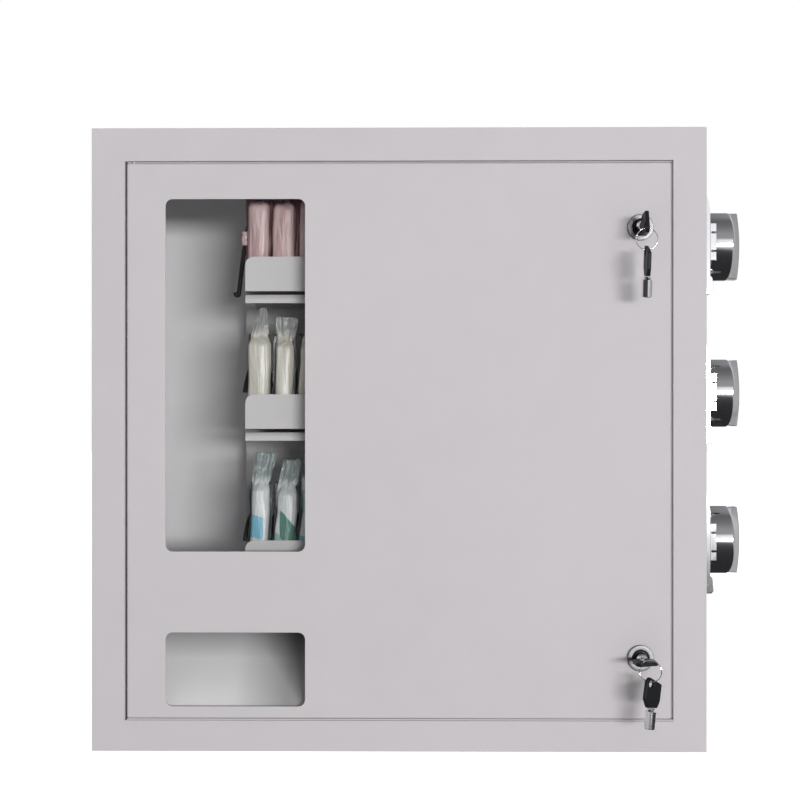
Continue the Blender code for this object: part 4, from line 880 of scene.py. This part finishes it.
# dish, rim and plugFace: radius, or for the rim how far inside the face's edge, and depth below the front,
# which for plugFace is the plug's own
lockShape = {"x": 0.2157, "front": -0.080, "upper": 0.4682, "lower": 0.0841, "face": 0.01165, "proud": 0.003,
             "behind": 0.0003, "thread": 0.00925, "bore": 0.0070, "rear": -0.0157, "plug": 0.0067,
             "plugSink": 0.0005, "tail": (0.004, 0.0026),
             "dish": ((0.0070, 0.0014), (0.0073, 0.0009), (0.0076, 0.0008), (0.0078, 0.0002), (0.0080, 0)),
             "rim": ((0.0006, 0), (0.0002, 0.0002), (0, 0.0006)),
             "plugFace": ((0, 0.0004), (0.0029, 0.0004), (0.0035, 0.001), (0.0035, 0.0085), (0.0051, 0.0085),
                          (0.0051, 0.0003), (0.0054, 0), (0.0063, 0), (0.0067, 0.0004))}
keyShape = {"sheet": 0.0034, "corner": 0.0016, "width": 0.0202, "length": 0.0264, "hole": 0.0032,
            "holeAt": (0.0036, 0.0205), "barrel": 0.0048, "bore": 0.0038, "barrelLength": 0.0155,
            "boreFloor": 0.0025, "neck": 0.0032, "neckLength": 0.0025, "start": 0.0003, "edge": 0.0003,
            "shoulder": 0.0004, "lip": 0.0002, "flare": (0.0005, 0.0006, 0.0015)}
# the head's corners as shares of its width and length
keyShares = ((0.307, 0), (0.525, 0.284), (0.485, 0.864), (0.322, 1), (-0.475, 0.780), (-0.446, 0.227),
             (-0.307, 0))


def lockPieces(name):
    lock = lockShape
    out = frameOf((lock["x"], lock["front"], lock[name]), (1, 0, 0), (0, 0, 1))
    front, face, rear, behind = lock["proud"], lock["face"], lock["rear"], lock["behind"]
    ring = [(radius, front - depth) for radius, depth in lock["dish"]]
    ring += [(face - inset, front - depth) for inset, depth in lock["rim"]]
    ring += [(face, behind), (lock["thread"], behind), (lock["thread"], rear), (lock["bore"], rear)]
    bm = bmesh.new()
    addTurned(bm, ring, out, 72, True)
    barrel = meshFrom(bm, "lock")
    evened(finish("lock_barrel_" + name, barrel, satinChrome, "lock_body_" + name, angle=50))
    tail, length = lock["tail"]
    core = [(radius, front - lock["plugSink"] - depth) for radius, depth in lock["plugFace"]]
    core += [(lock["plug"], rear), (tail, rear), (tail, rear - length), (0, rear - length)]
    bm = bmesh.new()
    addTurned(bm, core, out)
    plug = meshFrom(bm, "plug")
    evened(finish("lock_core_" + name, plug, looks["lock_black"], "lock_plug_" + name, angle=50))


def keyOutline(steps):
    key = keyShape
    corners = [(key["width"] * across, key["length"] * along) for across, along in keyShares]
    return rounded(corners, key["corner"], steps)


def barrelProfile():
    # radius and height below the head: neck, flare, barrel and the bore from its open end
    key = keyShape
    neck, barrel, bore, edge = key["neck"], key["barrel"], key["bore"], key["edge"]
    shoulder = key["shoulder"]
    wider, middle, above = key["flare"]
    start = -key["start"]
    collar = -(key["start"] + key["neckLength"])
    tip = -(key["start"] + key["neckLength"] + key["barrelLength"])
    floor = collar - key["boreFloor"]
    return [(0, start), (neck - edge, start), (neck, start - edge), (neck, collar + above),
            (neck + wider, collar + middle), (barrel - shoulder, collar), (barrel, collar - shoulder),
            (barrel, tip + shoulder), (barrel - edge, tip), (bore + key["lip"], tip), (bore, tip + edge),
            (bore, floor), (0, floor)]


def keyPieces(node, place):
    key = keyShape
    mesh = outlineMesh("head", keyOutline(6), key["sheet"], place, [circle(key["hole"], key["holeAt"])])
    rounding(finish(node + "_grip", mesh, looks["key_black"], node + "_head"), 0.0007, 3)
    bm = bmesh.new()
    addTurned(bm, barrelProfile(), place @ Matrix.Rotation(-pi / 2, 4, "X"), 48)
    finish(node + "_tube", meshFrom(bm, "barrel"), looks["chrome"], node + "_barrel", angle=28)


def placeOfHead(node, across, along):
    # the key head's own place, found from how far the CAD node's points reach
    across, along = Vector(across).normalized(), Vector(along).normalized()
    normal = across.cross(along)
    points = [vert.co for vert in cadNodes[node + "_head"].data.vertices]
    spanU, spanV, spanN = ([point.dot(way) for point in points] for way in (across, along, normal))
    left = min(point[0] for point in keyOutline(2))
    middle = (min(spanN) + max(spanN)) / 2
    return frameOf(across * (min(spanU) - left) + along * min(spanV) + normal * middle, across, along)


def leant(across, lean):
    # the two directions of a hanging key's head, leant by degrees
    across = Vector(across).normalized()
    up = Vector((0, 0, 1))
    lean = radians(lean)
    return across * cos(lean) - up * sin(lean), up * cos(lean) + across * sin(lean)


for name in ("upper", "lower"):
    lockPieces(name)
spareLean, spareYaw = -7.7, radians(-38)
keyWays = {"inserted_key_upper": ((0, 0, -1), (0, -1, 0)), "inserted_key_lower": ((-1, 0, 0), (0, -1, 0)),
           "spare_key_upper": leant((0, 1, 0), spareLean),
           "spare_key_lower": leant((-cos(spareYaw), sin(spareYaw), 0), spareLean)}
for node, (across, along) in keyWays.items():
    keyPieces(node, placeOfHead(node, across, along))

# the wire starts at an angle, changes from one turn to the other between two of its points, and ends short
ringShape = {"radius": 0.0094, "wire": 0.00042, "offset": 0.00033, "points": 120, "start": 2.6,
             "cross": (-9, 3), "short": 5}


def splitRing(name, across):
    # two close turns of round wire
    ring = ringShape
    low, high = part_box("key_ring_" + name)
    centre = (low + high) / 2
    across = Vector(across).normalized()
    up = Vector((0, 0, 1))
    normal = across.cross(up)
    first, last = (ring["points"] + place for place in ring["cross"])
    points = []
    for step in range(2 * ring["points"] - ring["short"]):
        angle = 2 * pi * step / ring["points"] + ring["start"]
        side = ring["offset"] * (2 * smoothStep(first, last, step) - 1)
        points.append(centre + (across * cos(angle) + up * sin(angle)) * ring["radius"] + normal * side)
    wirePiece("split_ring_" + name, points, ring["wire"], looks["chrome"], "key_ring_" + name)


splitRing("upper", (1, 0, 0))
splitRing("lower", (cos(radians(15)), -sin(radians(15)), 0))
print("locks and keys made")


# Camera, light and floor

# axisPixel is where the lens looks straight ahead in the photograph, viewWidth what it shows at that distance
cameraShape = {"distance": 1.2, "front": -0.080, "height": 0.2786, "axisPixel": (398.5, 440), "yaw": 0.6,
               "viewWidth": 0.7154, "size": 800, "sensor": 36}
keyLight = {"at": (2.98, -7.75, 0.52), "to": (0.0, -0.08, 0.28), "size": (3.5, 1.0), "power": 408}
# what polished metal sees: the room's colour by height, 0 straight down and 1 straight up, then a white card
# and the walls
studio = {"heights": ((0.0, (0.06, 0.06, 0.075)), (0.40, (0.035, 0.034, 0.048)), (0.497, (0.02, 0.02, 0.035)),
                      (0.50, (0.44, 0.44, 0.45)), (0.62, (0.34, 0.34, 0.35)), (0.8, (0.30, 0.30, 0.31)),
                      (1.0, (0.12, 0.12, 0.12))),
          "card": (0.90, 0.895, 0.92), "cardDegrees": (10.9, 11.6, 34, 40),
          "cardHeights": (0.0, 0.03, 0.26, 0.36),
          "right": (0.30, 0.30, 0.31), "left": (0.70, 0.70, 0.71), "behindLeft": (0.12, 0.12, 0.13),
          "behindRight": (0.62, 0.62, 0.63), "wallRise": (0.0, 0.10)}
# what matt surfaces get: from the sides, from above and from behind
ambience = {"around": (0.235, 0.235, 0.24), "above": (0.52, 0.52, 0.53), "behind": (0.60, 0.60, 0.61)}
# glow is the floor's own light on the object, shown what the camera sees of it
floorShape = {"colour": (0.86, 0.86, 0.86), "glow": 0.10, "shown": 0.90, "dark": (0.04, 0.04, 0.042),
              "light": (0.80, 0.80, 0.80), "size": 30, "drop": 0.0004}


def placed(name, data, at, turn):
    holder = bpy.data.objects.new(name, data)
    holder.location = at
    holder.rotation_euler = turn
    bpy.context.scene.collection.objects.link(holder)
    return holder


def makeCamera():
    shape = cameraShape
    at = (0, shape["front"] - shape["distance"], shape["height"])
    camera = placed("camera", bpy.data.cameras.new("camera"), at, (pi / 2, 0, radians(shape["yaw"])))
    camera.data.sensor_width = shape["sensor"]
    camera.data.lens = shape["sensor"] * shape["distance"] / shape["viewWidth"]
    camera.data.clip_start = 0.01
    # the shift puts axisPixel where the photograph has it, and makes up for the small yaw
    middle, (axisX, axisY) = shape["size"] / 2, shape["axisPixel"]
    turned = tan(radians(shape["yaw"])) * camera.data.lens / shape["sensor"]
    camera.data.shift_x = (middle - axisX) / shape["size"] + turned
    camera.data.shift_y = (axisY - middle) / shape["size"]
    bpy.context.scene.camera = camera


def makeLight():
    light = keyLight
    lamp = bpy.data.lights.new("key", "AREA")
    lamp.shape = "RECTANGLE"
    lamp.size, lamp.size_y = light["size"]
    lamp.energy = light["power"]
    turn = (Vector(light["to"]) - Vector(light["at"])).to_track_quat("-Z", "Y").to_euler()
    placed("key", lamp, light["at"], turn)


def makeWorld():
    world = bpy.data.worlds.new("studio")
    world.use_nodes = True
    bpy.context.scene.world = world
    room = Sock(world.node_tree)
    glossy = room.node("ShaderNodeLightPath", "Is Glossy Ray", {})
    seen = room.node("ShaderNodeLightPath", "Is Camera Ray", {})
    direction = room.node("ShaderNodeTexCoord", "Generated", {})
    height = direction.split(2)
    sideways = direction.split(0) * 0.5 + 0.5
    rearward = (direction.split(1) * 0.5 + 0.5).ramp(0.52, 0.72)
    around = room.node("ShaderNodeValToRGB", 0, {"stops": studio["heights"]}, Fac=height * 0.5 + 0.5)
    # a soft white card to the right of the camera
    azimuth = room.maths("ARCTAN2", direction.split(0), 0.0 - direction.split(1))
    start, full, fade, end = (radians(angle) for angle in studio["cardDegrees"])
    card = azimuth.ramp(start, full) * azimuth.ramp(fade, end, white, black)
    start, full, fade, end = studio["cardHeights"]
    card = card * height.ramp(start, full) * height.ramp(fade, end, white, black)
    around = card.mix(around, studio["card"])
    # walls beside and behind the object, from the horizon up
    walls = height.ramp(*studio["wallRise"])
    around = (sideways.ramp(0.86, 0.94) * walls).mix(around, studio["right"])
    around = (sideways.ramp(0.10, 0.22, white, black) * walls).mix(around, studio["left"])
    behind = sideways.ramp(0.58, 0.72).mix(studio["behindLeft"], studio["behindRight"])
    around = (rearward * walls).mix(around, behind)
    fill = height.ramp(0.35, 0.95).mix(ambience["around"], ambience["above"])
    fill = (rearward * 0.8).mix(fill, ambience["behind"])
    background = world.node_tree.nodes["Background"]
    feed(world.node_tree, background.inputs[0], glossy.mix(seen.mix(fill, white), around))


def makeFloor():
    shape = floorShape
    grid = bmesh.new()
    bmesh.ops.create_grid(grid, x_segments=1, y_segments=1, size=shape["size"])
    floor = placed("floor", meshFrom(grid, "floor"), (0, 0, -shape["drop"]), (0, 0, 0))
    look = Look("floor", Roughness=0.9, Emission_Strength=1.0)
    glossy = look.place.node("ShaderNodeLightPath", "Is Glossy Ray", {})
    seen = look.place.node("ShaderNodeLightPath", "Is Camera Ray", {})
    glow = seen.mix((shape["glow"],) * 3, (shape["shown"],) * 3)
    # in reflections the floor is dark round the object and light to its right
    mirrored = (look.place.split(0) * 0.1 + 0.5).ramp(0.560, 0.590).mix(shape["dark"], shape["light"])
    look.set(Base_Color=glossy.mix(shape["colour"], mirrored), Emission_Color=glossy.mix(glow, black))
    floor.data.materials.append(look.material)


makeCamera()
makeLight()
makeWorld()
makeFloor()
bpy.context.scene.view_settings.view_transform = "Standard"
bpy.context.scene.view_settings.look = "None"
print("camera and light made")
